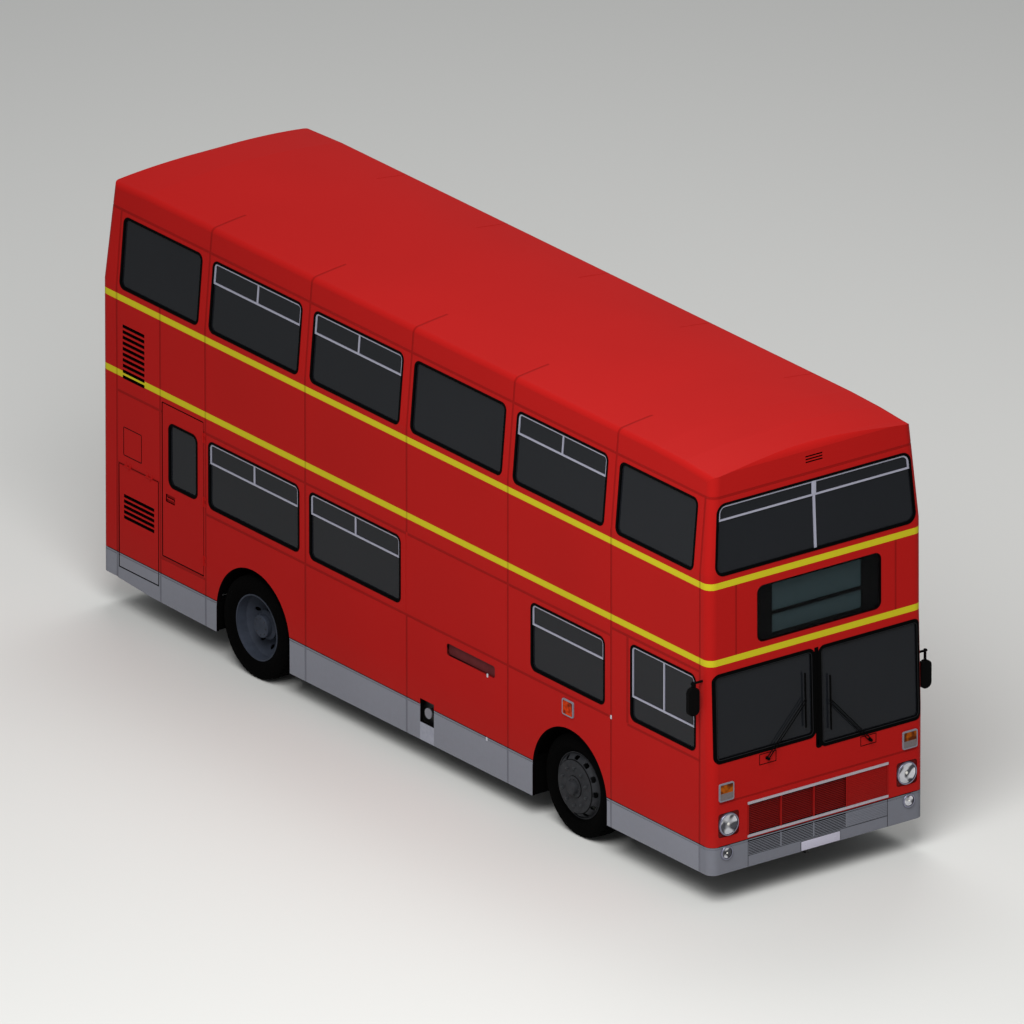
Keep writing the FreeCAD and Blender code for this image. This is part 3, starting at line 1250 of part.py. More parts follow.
FRONT_WHEEL_Y = HALF_WIDTH - FRONT_TYRE_INSET - TYRE_WIDTH / 2
KINGPIN_Y = FRONT_WHEEL_Y - KINGPIN_INSET
REAR_OUTER_Y = HALF_WIDTH - REAR_TYRE_INSET - TYRE_WIDTH / 2
REAR_INNER_Y = REAR_OUTER_Y - TWIN_SPACING
FRONT_AXLE_X = station(FRONT_AXLE_DISTANCE)
REAR_AXLE_X = station(FRONT_AXLE_DISTANCE + WHEELBASE)
ARM_X = FRONT_AXLE_X - ARM_LENGTH
ARM_TOP = AXLE_HEIGHT - BOSS_HEIGHT / 2 - LUG_GAP
ROD_HEIGHT = ARM_TOP - LUG_HEIGHT - LUG_GAP - ROD_EYE_HEIGHT / 2


def front_axle():
    """A dropped beam with an upright eye at each end for the kingpins."""
    depth = BEAM_DEPTH
    low = AXLE_HEIGHT - BEAM_DROP
    end = KINGPIN_Y - KINGPIN_BOSS / 2
    bend = 560.0
    rise = 760.0
    half_beam = [(0, low), (bend, low), (rise, AXLE_HEIGHT - depth / 2), (end, AXLE_HEIGHT - depth / 2),
                 (end, AXLE_HEIGHT + depth / 2), (rise - depth / 2, AXLE_HEIGHT + depth / 2),
                 (bend - depth / 2, low + depth), (0, low + depth)]
    beam = prism("x", half_beam, FRONT_AXLE_X - 45, FRONT_AXLE_X + 45)
    foot = Vector(FRONT_AXLE_X, KINGPIN_Y, AXLE_HEIGHT - BOSS_HEIGHT / 2)
    boss = Part.makeCylinder(KINGPIN_BOSS, BOSS_HEIGHT, foot)
    bore = Part.makeCylinder(KINGPIN_RADIUS + BEARING_CLEARANCE, BOSS_HEIGHT, foot)
    half = beam.fuse(boss).cut(bore)
    return joined([half, mirrored(half)])


def knuckle(side):
    """A yoke round the axle's eye, with kingpin, wheel spindle and steering arm."""
    lug_radius = KINGPIN_BOSS
    web_inner = KINGPIN_Y + KINGPIN_BOSS + LUG_GAP
    web_outer = web_inner + 30.0
    top = AXLE_HEIGHT + BOSS_HEIGHT / 2 + LUG_GAP
    parts = [Part.makeCylinder(KINGPIN_RADIUS, top - ARM_TOP, Vector(FRONT_AXLE_X, KINGPIN_Y, ARM_TOP))]
    for level in (ARM_TOP - LUG_HEIGHT, top):
        parts.append(Part.makeCylinder(lug_radius, LUG_HEIGHT, Vector(FRONT_AXLE_X, KINGPIN_Y, level)))
        parts.append(block(FRONT_AXLE_X - lug_radius, FRONT_AXLE_X + lug_radius, KINGPIN_Y, web_outer,
                           level, level + LUG_HEIGHT))
    parts.append(block(FRONT_AXLE_X - lug_radius, FRONT_AXLE_X + lug_radius, web_inner, web_outer,
                       ARM_TOP - LUG_HEIGHT, top + LUG_HEIGHT))
    parts.append(rod(Vector(FRONT_AXLE_X, web_inner, AXLE_HEIGHT),
                     Vector(FRONT_AXLE_X, FRONT_WHEEL_Y + FRONT_FLANGE - 10, AXLE_HEIGHT), SPINDLE_RADIUS))
    parts.append(block(ARM_X, FRONT_AXLE_X, KINGPIN_Y - 20, KINGPIN_Y + 20, ARM_TOP - LUG_HEIGHT, ARM_TOP))
    parts.append(Part.makeCylinder(ROD_EYE_RADIUS, LUG_HEIGHT, Vector(ARM_X, KINGPIN_Y, ARM_TOP - LUG_HEIGHT)))
    pin_foot = ROD_HEIGHT - ROD_EYE_HEIGHT / 2 - LUG_GAP
    parts.append(Part.makeCylinder(BALL_PIN_RADIUS, ARM_TOP - pin_foot, Vector(ARM_X, KINGPIN_Y, pin_foot)))
    shape = joined(parts)
    return shape if side == NEARSIDE else mirrored(shape)


def track_rod():
    """The rod that ties the two steering arms, with an eye round each arm's pin."""
    foot = ROD_HEIGHT - ROD_EYE_HEIGHT / 2
    eyes = []
    bores = []
    for side in (OFFSIDE, NEARSIDE):
        place = Vector(ARM_X, side * KINGPIN_Y, foot)
        eyes.append(Part.makeCylinder(ROD_EYE_RADIUS, ROD_EYE_HEIGHT, place))
        bores.append(Part.makeCylinder(BALL_PIN_RADIUS + BEARING_CLEARANCE, ROD_EYE_HEIGHT, place))
    reach = KINGPIN_Y - ROD_EYE_RADIUS / 2
    bar = rod(Vector(ARM_X, -reach, ROD_HEIGHT), Vector(ARM_X, reach, ROD_HEIGHT), TRACK_ROD_RADIUS)
    return joined([bar] + eyes).cut(bores)


def tyre(centre_x, centre_y):
    """A tyre's section, from bead to sidewall, shoulder and tread, turned about its axle."""
    half = TYRE_WIDTH / 2
    outline = [(-half * 0.68, RIM_RADIUS), (-half, RIM_RADIUS + 105), (-half * 0.9, TYRE_RADIUS - 22),
               (-half * 0.72, TYRE_RADIUS), (half * 0.72, TYRE_RADIUS), (half * 0.9, TYRE_RADIUS - 22),
               (half, RIM_RADIUS + 105), (half * 0.68, RIM_RADIUS)]
    return turned([(centre_y + y, r) for y, r in outline], centre_x, AXLE_HEIGHT)


HUB_BORE = SPINDLE_RADIUS + BEARING_CLEARANCE
FRONT_FLANGE = 172.0
FRONT_FLANGE_RADIUS = 275.0
REAR_FLANGE_RADIUS = 168.0
DRUM_RADIUS = 175.0
# along the axle from the front disc's back, radius: the stepped hub cap
FRONT_CAP = ((0.0, 0.0), (0.0, 108.0), (18.0, 105.0), (18.0, 56.0), (38.0, 50.0), (38.0, 0.0))
# along the axle from the outer rear tyre's middle, radius: the stepped hub
REAR_HUB = ((-18.0, 143.0), (2.0, 111.0), (52.0, 111.0), (57.0, 104.0), (57.0, 0.0))
RIM_INNER = RIM_RADIUS - 14.0
VENT_RADIUS = 22.0
VENT_COUNT = 10
VENT_CIRCLE = 240.0


def rim_outline(flange_y, flange_radius, half):
    """Rim and dished disc; the flange is where the disc bolts to its hub."""
    seat = half * 0.74
    meet = seat * 0.55 if flange_y > 0 else -seat * 0.2
    sheet = 12.0
    return [(-seat, RIM_RADIUS), (seat, RIM_RADIUS), (seat, RIM_INNER), (meet + sheet, RIM_INNER),
            (flange_y + sheet, flange_radius), (flange_y + sheet, HUB_BORE), (flange_y, HUB_BORE),
            (flange_y, flange_radius), (meet, RIM_INNER), (-seat, RIM_INNER)]


def vents(x, y, count):
    """Round holes through the disc, spaced round the axle."""
    holes = []
    for turn in range(count):
        angle = 2 * math.pi * turn / count
        place = Vector(x + VENT_CIRCLE * math.sin(angle), y - TYRE_WIDTH, AXLE_HEIGHT + VENT_CIRCLE * math.cos(angle))
        holes.append(Part.makeCylinder(VENT_RADIUS, 2 * TYRE_WIDTH, place, Vector(0, 1, 0)))
    return holes


def front_vents():
    """Round holes outwards through the front disc's steep cone."""
    holes = []
    for turn in range(VENT_COUNT):
        angle = 2 * math.pi * turn / VENT_COUNT
        outward = Vector(math.sin(angle), 0, math.cos(angle))
        middle = Vector(FRONT_AXLE_X, FRONT_WHEEL_Y + FRONT_FLANGE - 2 * VENT_RADIUS, AXLE_HEIGHT)
        holes.append(Part.makeCylinder(VENT_RADIUS, RIM_RADIUS - VENT_CIRCLE, middle + outward * VENT_CIRCLE, outward))
    return holes


def front_wheel(side):
    """A steel wheel whose disc domes outwards past its tyre, with its hub and brake drum."""
    half = TYRE_WIDTH / 2
    back = FRONT_WHEEL_Y + FRONT_FLANGE
    outline = rim_outline(FRONT_FLANGE, FRONT_FLANGE_RADIUS, half)
    disc = turned([(FRONT_WHEEL_Y + y, r) for y, r in outline], FRONT_AXLE_X, AXLE_HEIGHT)
    disc = disc.cut(front_vents())
    drum_inner = KINGPIN_Y + KINGPIN_BOSS + LUG_GAP + 40.0
    drum = turned([(drum_inner, HUB_BORE), (drum_inner, DRUM_RADIUS), (FRONT_WHEEL_Y, DRUM_RADIUS),
                   (FRONT_WHEEL_Y, FRONT_CAP[1][1]), (back, FRONT_CAP[1][1]), (back, HUB_BORE)],
                  FRONT_AXLE_X, AXLE_HEIGHT)
    cap = turned([(back + y, r) for y, r in FRONT_CAP], FRONT_AXLE_X, AXLE_HEIGHT)
    wheel = joined([disc, drum, cap])
    return wheel if side == NEARSIDE else mirrored(wheel)


def rear_wheels(side):
    """Twin wheels bolted back to back, with their hub and brake drum."""
    half = TYRE_WIDTH / 2
    middle = (REAR_OUTER_Y + REAR_INNER_Y) / 2
    outline = rim_outline(-TWIN_SPACING / 2, REAR_FLANGE_RADIUS, half)
    outer = turned([(REAR_OUTER_Y + y, r) for y, r in outline], REAR_AXLE_X, AXLE_HEIGHT)
    inner = turned([(REAR_INNER_Y - y, r) for y, r in outline], REAR_AXLE_X, AXLE_HEIGHT)
    discs = [disc.cut(vents(REAR_AXLE_X, middle, VENT_COUNT)) for disc in (outer, inner)]
    drum = turned([(REAR_INNER_Y - 120, HUB_BORE), (REAR_INNER_Y - 120, DRUM_RADIUS), (middle, DRUM_RADIUS),
                   (middle, HUB_BORE)], REAR_AXLE_X, AXLE_HEIGHT)
    steps = [(middle, 0.0), (middle, REAR_HUB[0][1])] + [(REAR_OUTER_Y + y, r) for y, r in REAR_HUB]
    hub = turned(steps, REAR_AXLE_X, AXLE_HEIGHT)
    wheel = joined(discs + [drum, hub])
    wheel = wheel.cut(rod(Vector(REAR_AXLE_X, 0, AXLE_HEIGHT), Vector(REAR_AXLE_X, middle + 12, AXLE_HEIGHT), HUB_BORE))
    return wheel if side == NEARSIDE else mirrored(wheel)


def rear_tyres(side):
    return apart([tyre(REAR_AXLE_X, side * y) for y in (REAR_OUTER_Y, REAR_INNER_Y)])


SPRING_Y = (RAIL_INNER + 5.0, RAIL_OUTER - 5.0)
# half-lengths of a front spring's leaves, bottom leaf first
SPRING_LEAVES = (300.0, 450.0, 600.0)
RADIUS_ROD_Y = 250.0
RADIUS_ROD_RADIUS = 22.0
RADIUS_ROD_ANCHOR = 6200.0
AXLE_TUBE_RADIUS = 80.0
BELLOWS_RADIUS = 62.0


def suspension():
    """Leaf springs over the front axle; air bellows and radius rods at the rear axle."""
    beam_top = AXLE_HEIGHT - BEAM_DROP + BEAM_DEPTH
    rail_foot = LOWER_FLOOR_TOP - FLOOR_THICKNESS - RAIL_DEPTH
    sheet = (rail_foot - beam_top) / (len(SPRING_LEAVES) + 1)
    inner, outer = SPRING_Y
    pieces = []
    for side in (OFFSIDE, NEARSIDE):
        stack = [block(FRONT_AXLE_X - half, FRONT_AXLE_X + half, side * inner, side * outer,
                       beam_top + turn * sheet, beam_top + (turn + 1) * sheet)
                 for turn, half in enumerate(SPRING_LEAVES)]
        reach = SPRING_LEAVES[-1]
        stack += [block(x - sheet * 3, x + sheet * 3, side * inner, side * outer, rail_foot - 2 * sheet, rail_foot)
                  for x in (FRONT_AXLE_X - reach, FRONT_AXLE_X + reach)]
        pieces.append(joined(stack))
        crown = REAR_FLOOR_TOP - FLOOR_THICKNESS - RAIL_DEPTH / 2
        foot = Vector(REAR_AXLE_X, side * (inner + outer) / 2, AXLE_HEIGHT)
        bellows = Part.makeCylinder(BELLOWS_RADIUS, crown - AXLE_HEIGHT, foot)
        tube = rod(Vector(REAR_AXLE_X, 0, AXLE_HEIGHT), Vector(REAR_AXLE_X, side * HALF_WIDTH, AXLE_HEIGHT),
                   AXLE_TUBE_RADIUS)
        pieces.append(bellows.cut(tube))
        anchor = station(RADIUS_ROD_ANCHOR) - MEMBER_WIDTH / 2
        link = rod(Vector(REAR_AXLE_X, side * RADIUS_ROD_Y, AXLE_HEIGHT),
                   Vector(anchor, side * RADIUS_ROD_Y, AXLE_HEIGHT), RADIUS_ROD_RADIUS)
        pieces.append(link.cut(tube))
    return apart(pieces)


def rear_axle():
    """Axle tubes, the final drive's round casing and a spindle for each pair of wheels."""
    middle = (REAR_OUTER_Y + REAR_INNER_Y) / 2
    tube_end = REAR_INNER_Y - 140.0
    tube = rod(Vector(REAR_AXLE_X, -tube_end, AXLE_HEIGHT), Vector(REAR_AXLE_X, tube_end, AXLE_HEIGHT), AXLE_TUBE_RADIUS)
    spindle = rod(Vector(REAR_AXLE_X, -middle, AXLE_HEIGHT), Vector(REAR_AXLE_X, middle, AXLE_HEIGHT), SPINDLE_RADIUS)
    casing = turned([(-150, 0), (-150, 90), (-70, 170), (70, 170), (150, 90), (150, 0)], REAR_AXLE_X, AXLE_HEIGHT)
    return joined([tube, spindle, casing])


# ---- Cab and seats ----

SEAT_PITCH = 730.0
SEAT_INNER = 300.0
SEAT_OUTER = INNER_HALF_WIDTH - 35.0
# forward of the backrest's foot, above the floor
SEAT_OUTLINE = ((-60, 0), (40, 0), (60, 370), (400, 385), (400, 450), (60, 440), (-20, 960), (-75, 960),
                (-40, 370))
# floor height, first row's distance, rows, side
SEAT_ROWS = (
    (LOWER_FLOOR_TOP, 3600.0, 4, NEARSIDE),
    (LOWER_FLOOR_TOP, 5250.0, 2, OFFSIDE),
    (UPPER_FLOOR_TOP, 1250.0, 11, NEARSIDE),
    (UPPER_FLOOR_TOP, 1250.0, 3, OFFSIDE),
    (UPPER_FLOOR_TOP, 5800.0, 5, OFFSIDE),
)


def passenger_seats():
    seats = []
    for floor, first, rows, side in SEAT_ROWS:
        for row in range(rows):
            x = station(first + row * SEAT_PITCH)
            outline = [(x + dx, floor + dz) for dx, dz in SEAT_OUTLINE]
            seats.append(prism("y", outline, side * SEAT_INNER, side * SEAT_OUTER))
    return apart(seats)


CAB_WALL_Y = -330.0
CAB_REAR_DISTANCE = 1510.0
CAB_PANEL_TOP = 1150.0
CAB_SHEET = 30.0
DASH_FRONT_DISTANCE = 90.0
DASH_REAR_DISTANCE = 560.0
DASH_TOP = 1330.0
DASH_EDGE = 1180.0
DRIVER_SEAT_DISTANCE = 1330.0
DRIVER_Y = -760.0
STEERING_CENTRE = (station(660.0), DRIVER_Y, 1440.0)
STEERING_TILT = 25.0
STEERING_RADIUS = 235.0


def driver_cab():
    """Instrument panel, steering column, and the partitions beside and behind the driver."""
    rear = station(CAB_REAR_DISTANCE)
    partition = block(rear, rear + CAB_SHEET, -INNER_HALF_WIDTH, CAB_WALL_Y,
                      LOWER_FLOOR_TOP, UPPER_FLOOR_TOP - FLOOR_THICKNESS)
    side_panel = block(rear, station(DASH_REAR_DISTANCE / 2), CAB_WALL_Y - CAB_SHEET, CAB_WALL_Y,
                       LOWER_FLOOR_TOP, CAB_PANEL_TOP)
    dash_front, dash_rear = station(DASH_FRONT_DISTANCE), station(DASH_REAR_DISTANCE)
    outline = [(dash_front, LOWER_FLOOR_TOP), (dash_front, DASH_TOP), (dash_rear + 90, DASH_TOP),
               (dash_rear, DASH_EDGE), (dash_rear + 120, LOWER_FLOOR_TOP)]
    dash = inside(prism("y", outline, -INNER_HALF_WIDTH, CAB_WALL_Y))
    column = rod(steering_point(-560), steering_point(-45), 30.0)
    return joined([dash, partition, side_panel, column])


def steering_point(offset):
    """A point on the steering column's axis, measured from the rim's centre."""
    tilt = math.radians(STEERING_TILT)
    x, y, z = STEERING_CENTRE
    return Vector(x - offset * math.sin(tilt), y, z + offset * math.cos(tilt))


def steering_wheel():
    """A flat rim on three spokes and a hub."""
    axis = steering_point(1) - steering_point(0)
    rim = Part.makeTorus(STEERING_RADIUS, 14.0, steering_point(0), axis)
    hub = rod(steering_point(-39), steering_point(12), 45.0)
    spokes = []
    for turn in range(3):
        spoke = block(0, STEERING_RADIUS, -15, 15, -8, 8)
        spoke.rotate(Vector(0, 0, 0), Vector(0, 0, 1), 60 + 120 * turn)
        spoke.rotate(Vector(0, 0, 0), Vector(0, 1, 0), -STEERING_TILT)
        spoke.translate(steering_point(0))
        spokes.append(spoke)
    return joined([rim, hub] + spokes)


def driver_seat():
    x = station(DRIVER_SEAT_DISTANCE)
    outline = [(x + dx * 0.95, LOWER_FLOOR_TOP + dz) for dx, dz in SEAT_OUTLINE]
    return prism("y", outline, DRIVER_Y - 230, DRIVER_Y + 230)


# ---- Mirrors and wipers ----

MIRROR_REACH = HALF_WIDTH + 170.0
# side, arm's height, mirror centre's height
MIRRORS = ((OFFSIDE, 2254.0, 2075.0), (NEARSIDE, 1925.0, 1690.0))
MIRROR_DISTANCE = 137.0
MIRROR_SIZE = (124.0, 280.0, 45.0)
MIRROR_CORNER = 56.0


def mirrors():
    """A bent arm and a rounded head on each front corner."""
    width, height, depth = MIRROR_SIZE
    pieces = []
    for side, arm, centre in MIRRORS:
        x = station(MIRROR_DISTANCE)
        middle = MIRROR_REACH - width / 2
        across = rod(Vector(x, side * HALF_WIDTH, arm), Vector(x, side * (middle + 20), arm), 12.0)
        down = rod(Vector(x, side * middle, arm + 16), Vector(x, side * middle, centre), 14.0)
        head = rounded_prism("x", side * MIRROR_REACH, side * (MIRROR_REACH - width), centre - height / 2,
                             centre + height / 2, x - depth / 2, x + depth / 2, MIRROR_CORNER)
        pieces.append(joined([across, down, head]))
    return apart(pieces)


# side, spindle's Y, spindle's height, arm end's Y, arm end's height, blade's foot, blade's top
WIPERS = ((OFFSIDE, 600.0, 1370.0, 146.0, 1840.0, 1565.0, 2106.0),
          (NEARSIDE, 600.0, 1262.0, 146.0, 1757.0, 1475.0, 2016.0))


WIPER_ROD = 5.0
WIPER_RODS_APART = 26.0
WIPER_LIFT = 20.0
WIPER_SPINDLE = 15.0
BLADE_WIDTH = 12.0


def front_face(height):
    """X of the front panel's outer face at this height."""
    for (z0, inset0, side0, rear0), (z1, inset1, side1, rear1) in zip(BODY_SECTIONS, BODY_SECTIONS[1:]):
        if z0 <= height <= z1:
            return FRONT_X - inset0 - (inset1 - inset0) * (height - z0) / (z1 - z0)
    return FRONT_X


def wipers():
    """Spindle, twin-rod arm and upright blade, parked beside the centre pillar."""
    pieces = []
    for side, y, z, end_y, end_z, foot, top in WIPERS:
        start = Vector(FRONT_X + WIPER_LIFT, side * y, z)
        end = Vector(front_face(end_z) + WIPER_LIFT, side * end_y, end_z)
        apart_by = Vector(0, end.z - start.z, start.y - end.y).normalize() * (WIPER_RODS_APART / 2)
        parts = [rod(Vector(FRONT_X, side * y, z), Vector(FRONT_X + STANDOUT, side * y, z), WIPER_SPINDLE),
                 rod(start - apart_by, start + apart_by, WIPER_ROD), rod(end - apart_by, end + apart_by, WIPER_ROD)]
        parts += [rod(start + shift, end + shift, WIPER_ROD) for shift in (apart_by, apart_by * -1)]
        outline = [(front_face(foot) + WIPER_ROD, foot), (front_face(foot) + WIPER_LIFT, foot),
                   (front_face(end_z) + WIPER_LIFT, end_z), (front_face(top) + WIPER_LIFT, top),
                   (front_face(top) + WIPER_ROD, top), (front_face(end_z) + WIPER_ROD, end_z)]
        middle = side * end_y
        parts.append(prism("y", outline, middle - BLADE_WIDTH / 2, middle + BLADE_WIDTH / 2))
        pieces.append(joined(parts))
    return apart(pieces)


# ---- The pieces, by name ----

PIECES = {
    "chassis_frame": chassis_frame(),
    "lower_floor": lower_floor(),
    "wheel_boxes": wheel_boxes(),
    "upper_floor": upper_floor(),
    "staircase": staircase(),
    "roof": roof(),
    "offside_lower_wall": lower_wall(OFFSIDE),
    "nearside_lower_wall": lower_wall(NEARSIDE),
    "offside_upper_wall": upper_wall(OFFSIDE),
    "nearside_upper_wall": upper_wall(NEARSIDE),
    "front_lower_panel": front_lower_panel(),
    "front_upper_panel": front_upper_panel(),
    "rear_lower_panel": rear_lower_panel(),
    "rear_upper_panel": rear_upper_panel(),
    "front_bumper": front_bumper(),
    "side_skirts": side_skirts(),
    "rear_bumper": rear_bumper(),
    "windscreen": windscreen(),
    "saloon_glass": saloon_glass(),
    "window_frames": window_frames(),
    "hopper_frames": hopper_frames(),
    "destination_box": destination_box(),
    "front_grille": front_grille(),
    "headlamps": headlamps(),
    "indicator_lamps": indicator_lamps(),
    "tail_lamps": tail_lamps(),
    "emergency_door": emergency_door(),
    "emergency_door_glass": emergency_door_glass(),
    "engine_side_door": engine_side_door(),
    "engine_cover": engine_cover(),
    "engine": engine(),
    "fuel_tank": fuel_tank(),
    "front_axle": front_axle(),
    "front_left_knuckle": knuckle(NEARSIDE),
    "front_right_knuckle": knuckle(OFFSIDE),
    "track_rod": track_rod(),
    "front_left_wheel": front_wheel(NEARSIDE),
    "front_right_wheel": front_wheel(OFFSIDE),
    "front_left_tyre": tyre(FRONT_AXLE_X, FRONT_WHEEL_Y),
    "front_right_tyre": tyre(FRONT_AXLE_X, -FRONT_WHEEL_Y),
    "suspension": suspension(),
    "rear_axle": rear_axle(),
    "rear_left_wheels": rear_wheels(NEARSIDE),
    "rear_right_wheels": rear_wheels(OFFSIDE),
    "rear_left_tyres": rear_tyres(NEARSIDE),
    "rear_right_tyres": rear_tyres(OFFSIDE),
    "passenger_seats": passenger_seats(),
    "driver_cab": driver_cab(),
    "driver_seat": driver_seat(),
    "steering_wheel": steering_wheel(),
    "mirrors": mirrors(),
    "wipers": wipers(),
}
for number in (1, 2, 3, 4):
    PIECES["entrance_leaf_%d" % number] = entrance_leaf(number)
    PIECES["entrance_glass_%d" % number] = entrance_glass(number)

os.makedirs("parts", exist_ok=True)
for name, shape in PIECES.items():
    shape.exportStep("parts/%s.step" % name)
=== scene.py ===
import math
import bmesh
import bpy
from mathutils import Matrix, Vector


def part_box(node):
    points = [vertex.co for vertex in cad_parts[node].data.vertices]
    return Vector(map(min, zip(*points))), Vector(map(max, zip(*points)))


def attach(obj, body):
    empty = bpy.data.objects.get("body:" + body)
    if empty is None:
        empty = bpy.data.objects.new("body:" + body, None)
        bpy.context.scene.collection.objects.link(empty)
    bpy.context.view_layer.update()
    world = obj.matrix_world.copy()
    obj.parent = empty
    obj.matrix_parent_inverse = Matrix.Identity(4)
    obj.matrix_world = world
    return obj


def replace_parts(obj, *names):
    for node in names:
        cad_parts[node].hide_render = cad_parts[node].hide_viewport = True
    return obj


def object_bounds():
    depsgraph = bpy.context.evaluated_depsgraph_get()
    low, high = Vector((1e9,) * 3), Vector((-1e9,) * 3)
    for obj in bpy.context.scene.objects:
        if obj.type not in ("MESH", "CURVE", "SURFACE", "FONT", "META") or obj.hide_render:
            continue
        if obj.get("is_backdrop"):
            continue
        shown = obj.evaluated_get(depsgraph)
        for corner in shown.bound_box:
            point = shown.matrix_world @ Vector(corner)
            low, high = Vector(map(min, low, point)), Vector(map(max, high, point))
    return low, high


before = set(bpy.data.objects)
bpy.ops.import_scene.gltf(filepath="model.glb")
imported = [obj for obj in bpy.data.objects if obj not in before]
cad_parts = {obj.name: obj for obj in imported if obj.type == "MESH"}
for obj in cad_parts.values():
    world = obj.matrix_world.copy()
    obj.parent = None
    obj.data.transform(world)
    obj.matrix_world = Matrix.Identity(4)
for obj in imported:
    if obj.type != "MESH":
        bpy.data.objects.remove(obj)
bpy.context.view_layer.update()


# ---- Studio ----
# A pale matt floor under a white dome, with one large soft lamp high in front of the bus's right
# side and a weaker one behind it. A long lens stands far off, so that upright lines stay parallel.

def linear(code):
    """An sRGB hex colour such as "a11b18", as the linear RGBA that nodes take."""
    parts = [int(code[i:i + 2], 16) / 255 for i in (0, 2, 4)]
    return [c / 12.92 if c <= 0.04045 else ((c + 0.055) / 1.055) ** 2.4 for c in parts] + [1.0]


def add(tree, kind, settings=None, inputs=None):
    """One shader node. An input given as a socket is linked; anything else is its value."""
    made = tree.nodes.new("ShaderNode" + kind)
    for name, value in (settings or {}).items():
        setattr(made, name, value)
    for name, value in (inputs or {}).items():
        if isinstance(value, bpy.types.NodeSocket):
            tree.links.new(value, made.inputs[name])
        else:
            made.inputs[name].default_value = value
    return made


def start_material(name):
    """A material with an empty node tree."""
    material = bpy.data.materials.new(name)
    material.use_nodes = True
    material.node_tree.nodes.clear()
    return material, material.node_tree


def surface(tree, inputs):
    """A Principled surface with these inputs, joined to the material's output."""
    shader = add(tree, "BsdfPrincipled", {}, inputs)
    add(tree, "OutputMaterial", {}, {"Surface": shader.outputs[0]})


def new_object(name, data):
    """An object that shows in the scene."""
    made = bpy.data.objects.new(name, data)
    bpy.context.scene.collection.objects.link(made)
    return made


FLOOR_HALF = 60.0
matt_floor, tree = start_material("matt_studio_floor")
surface(tree, {"Base Color": linear("d2d2cf"), "Roughness": 0.9, "Specular IOR Level": 0.1})
mesh = bpy.data.meshes.new("studio_floor")
bm = bmesh.new()
bmesh.ops.create_grid(bm, x_segments=1, y_segments=1, size=FLOOR_HALF)
bm.to_mesh(mesh)
bm.free()
mesh.materials.append(matt_floor)
new_object("studio_floor", mesh)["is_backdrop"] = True

world = bpy.data.worlds.new("studio_dome")
world.use_nodes = True
bpy.context.scene.world = world
dome = world.node_tree
dome.nodes.clear()
DOME_LIGHT = 0.36
lit = add(dome, "Background", {}, {"Color": linear("e9ebee"), "Strength": DOME_LIGHT})
seen = add(dome, "Background", {}, {"Color": linear("d9dadb"), "Strength": 1.0})
ray = add(dome, "LightPath")
choice = add(dome, "MixShader", {}, {"Fac": ray.outputs["Is Camera Ray"], 1: lit.outputs[0],
                                     2: seen.outputs[0]})
add(dome, "OutputWorld", {}, {"Surface": choice.outputs[0]})

# the bus's middle, as the camera and the lamps aim at it
AIM = Vector((0.005, 0.017, 2.153))
VIEW_AZIMUTH = 53.05
VIEW_ELEVATION = 21.92
VIEW_WIDTH = 9.609
LENS = 1500.0
# azimuth, elevation (degrees), size (m), power (W)
LAMPS = ((47.5, 46.0, 14.0, 5600.0), (232.0, 64.0, 12.0, 2000.0))
LAMP_DISTANCE = 24.0


def towards(azimuth, elevation):
    """The direction from the bus to a place in the room; azimuth 0 is straight off its right side."""
    a, e = math.radians(azimuth), math.radians(elevation)
    return Vector((math.sin(a) * math.cos(e), -math.cos(a) * math.cos(e), math.sin(e)))


def stand_off(name, data, azimuth, elevation, distance):
    """A lamp or the camera, standing this far off and looking at the bus."""
    made = new_object(name, data)
    made.location = AIM + towards(azimuth, elevation) * distance
    made.rotation_euler = towards(azimuth, elevation).to_track_quat("Z", "Y").to_euler()
    return made


for azimuth, elevation, size, power in LAMPS:
    light = bpy.data.lights.new("soft_lamp", "AREA")
    light.size = size
    light.energy = power
    stand_off("soft_lamp", light, azimuth, elevation, LAMP_DISTANCE)

lens = bpy.data.cameras.new("long_lens")
lens.lens = LENS
camera_distance = VIEW_WIDTH * LENS / lens.sensor_width
lens.clip_end = 2 * camera_distance
bpy.context.scene.camera = stand_off("long_lens", lens, VIEW_AZIMUTH, VIEW_ELEVATION, camera_distance)
bpy.context.scene.view_settings.view_transform = "Standard"


# ---- Body panels ----
# Aluminium sheets on a steel frame, sprayed in red coach enamel; two yellow lining bands are
# masked and sprayed right round the bus. Seams are shallow gaps; the inside is laminate.

BODY_FRONT, BODY_REAR = 4.765, -4.765
BODY_HALF_WIDTH = 1.25
BODY_CORNER = 0.09
# height; how far the front, the sides and the rear lie inwards there
BODY_LEAN = ((0.2, 0.0, 0.0, 0.0), (1.45, 0.0, 0.0, 0.0), (2.4, 0.033, 0.0, 0.0), (3.32, 0.04, 0.0, 0.0),
             (4.5, 0.104, 0.103, 0.079))
# bottom and top of each lining band
BANDS = ((2.408, 2.473), (3.173, 3.238))
# a red panel that reaches below this height is grey there, as the skirts are
SKIRT_TOP = 0.605
# red, band yellow and skirt grey of the panels, then of the duller cover strips over their joints
PANEL_COLOURS = ("a61816", "bfb422", "80828b")
STRIP_COLOURS = ("8c1412", "a89c1d", "6c6e77")


def lean(height, column):
    """How far the front (1), the sides (2) or the rear (3) lies inwards at a height."""
    for low, high in zip(BODY_LEAN, BODY_LEAN[1:]):
        if height <= high[0]:
            break
    share = (height - low[0]) / (high[0] - low[0])
    return low[column] + share * (high[column] - low[column])


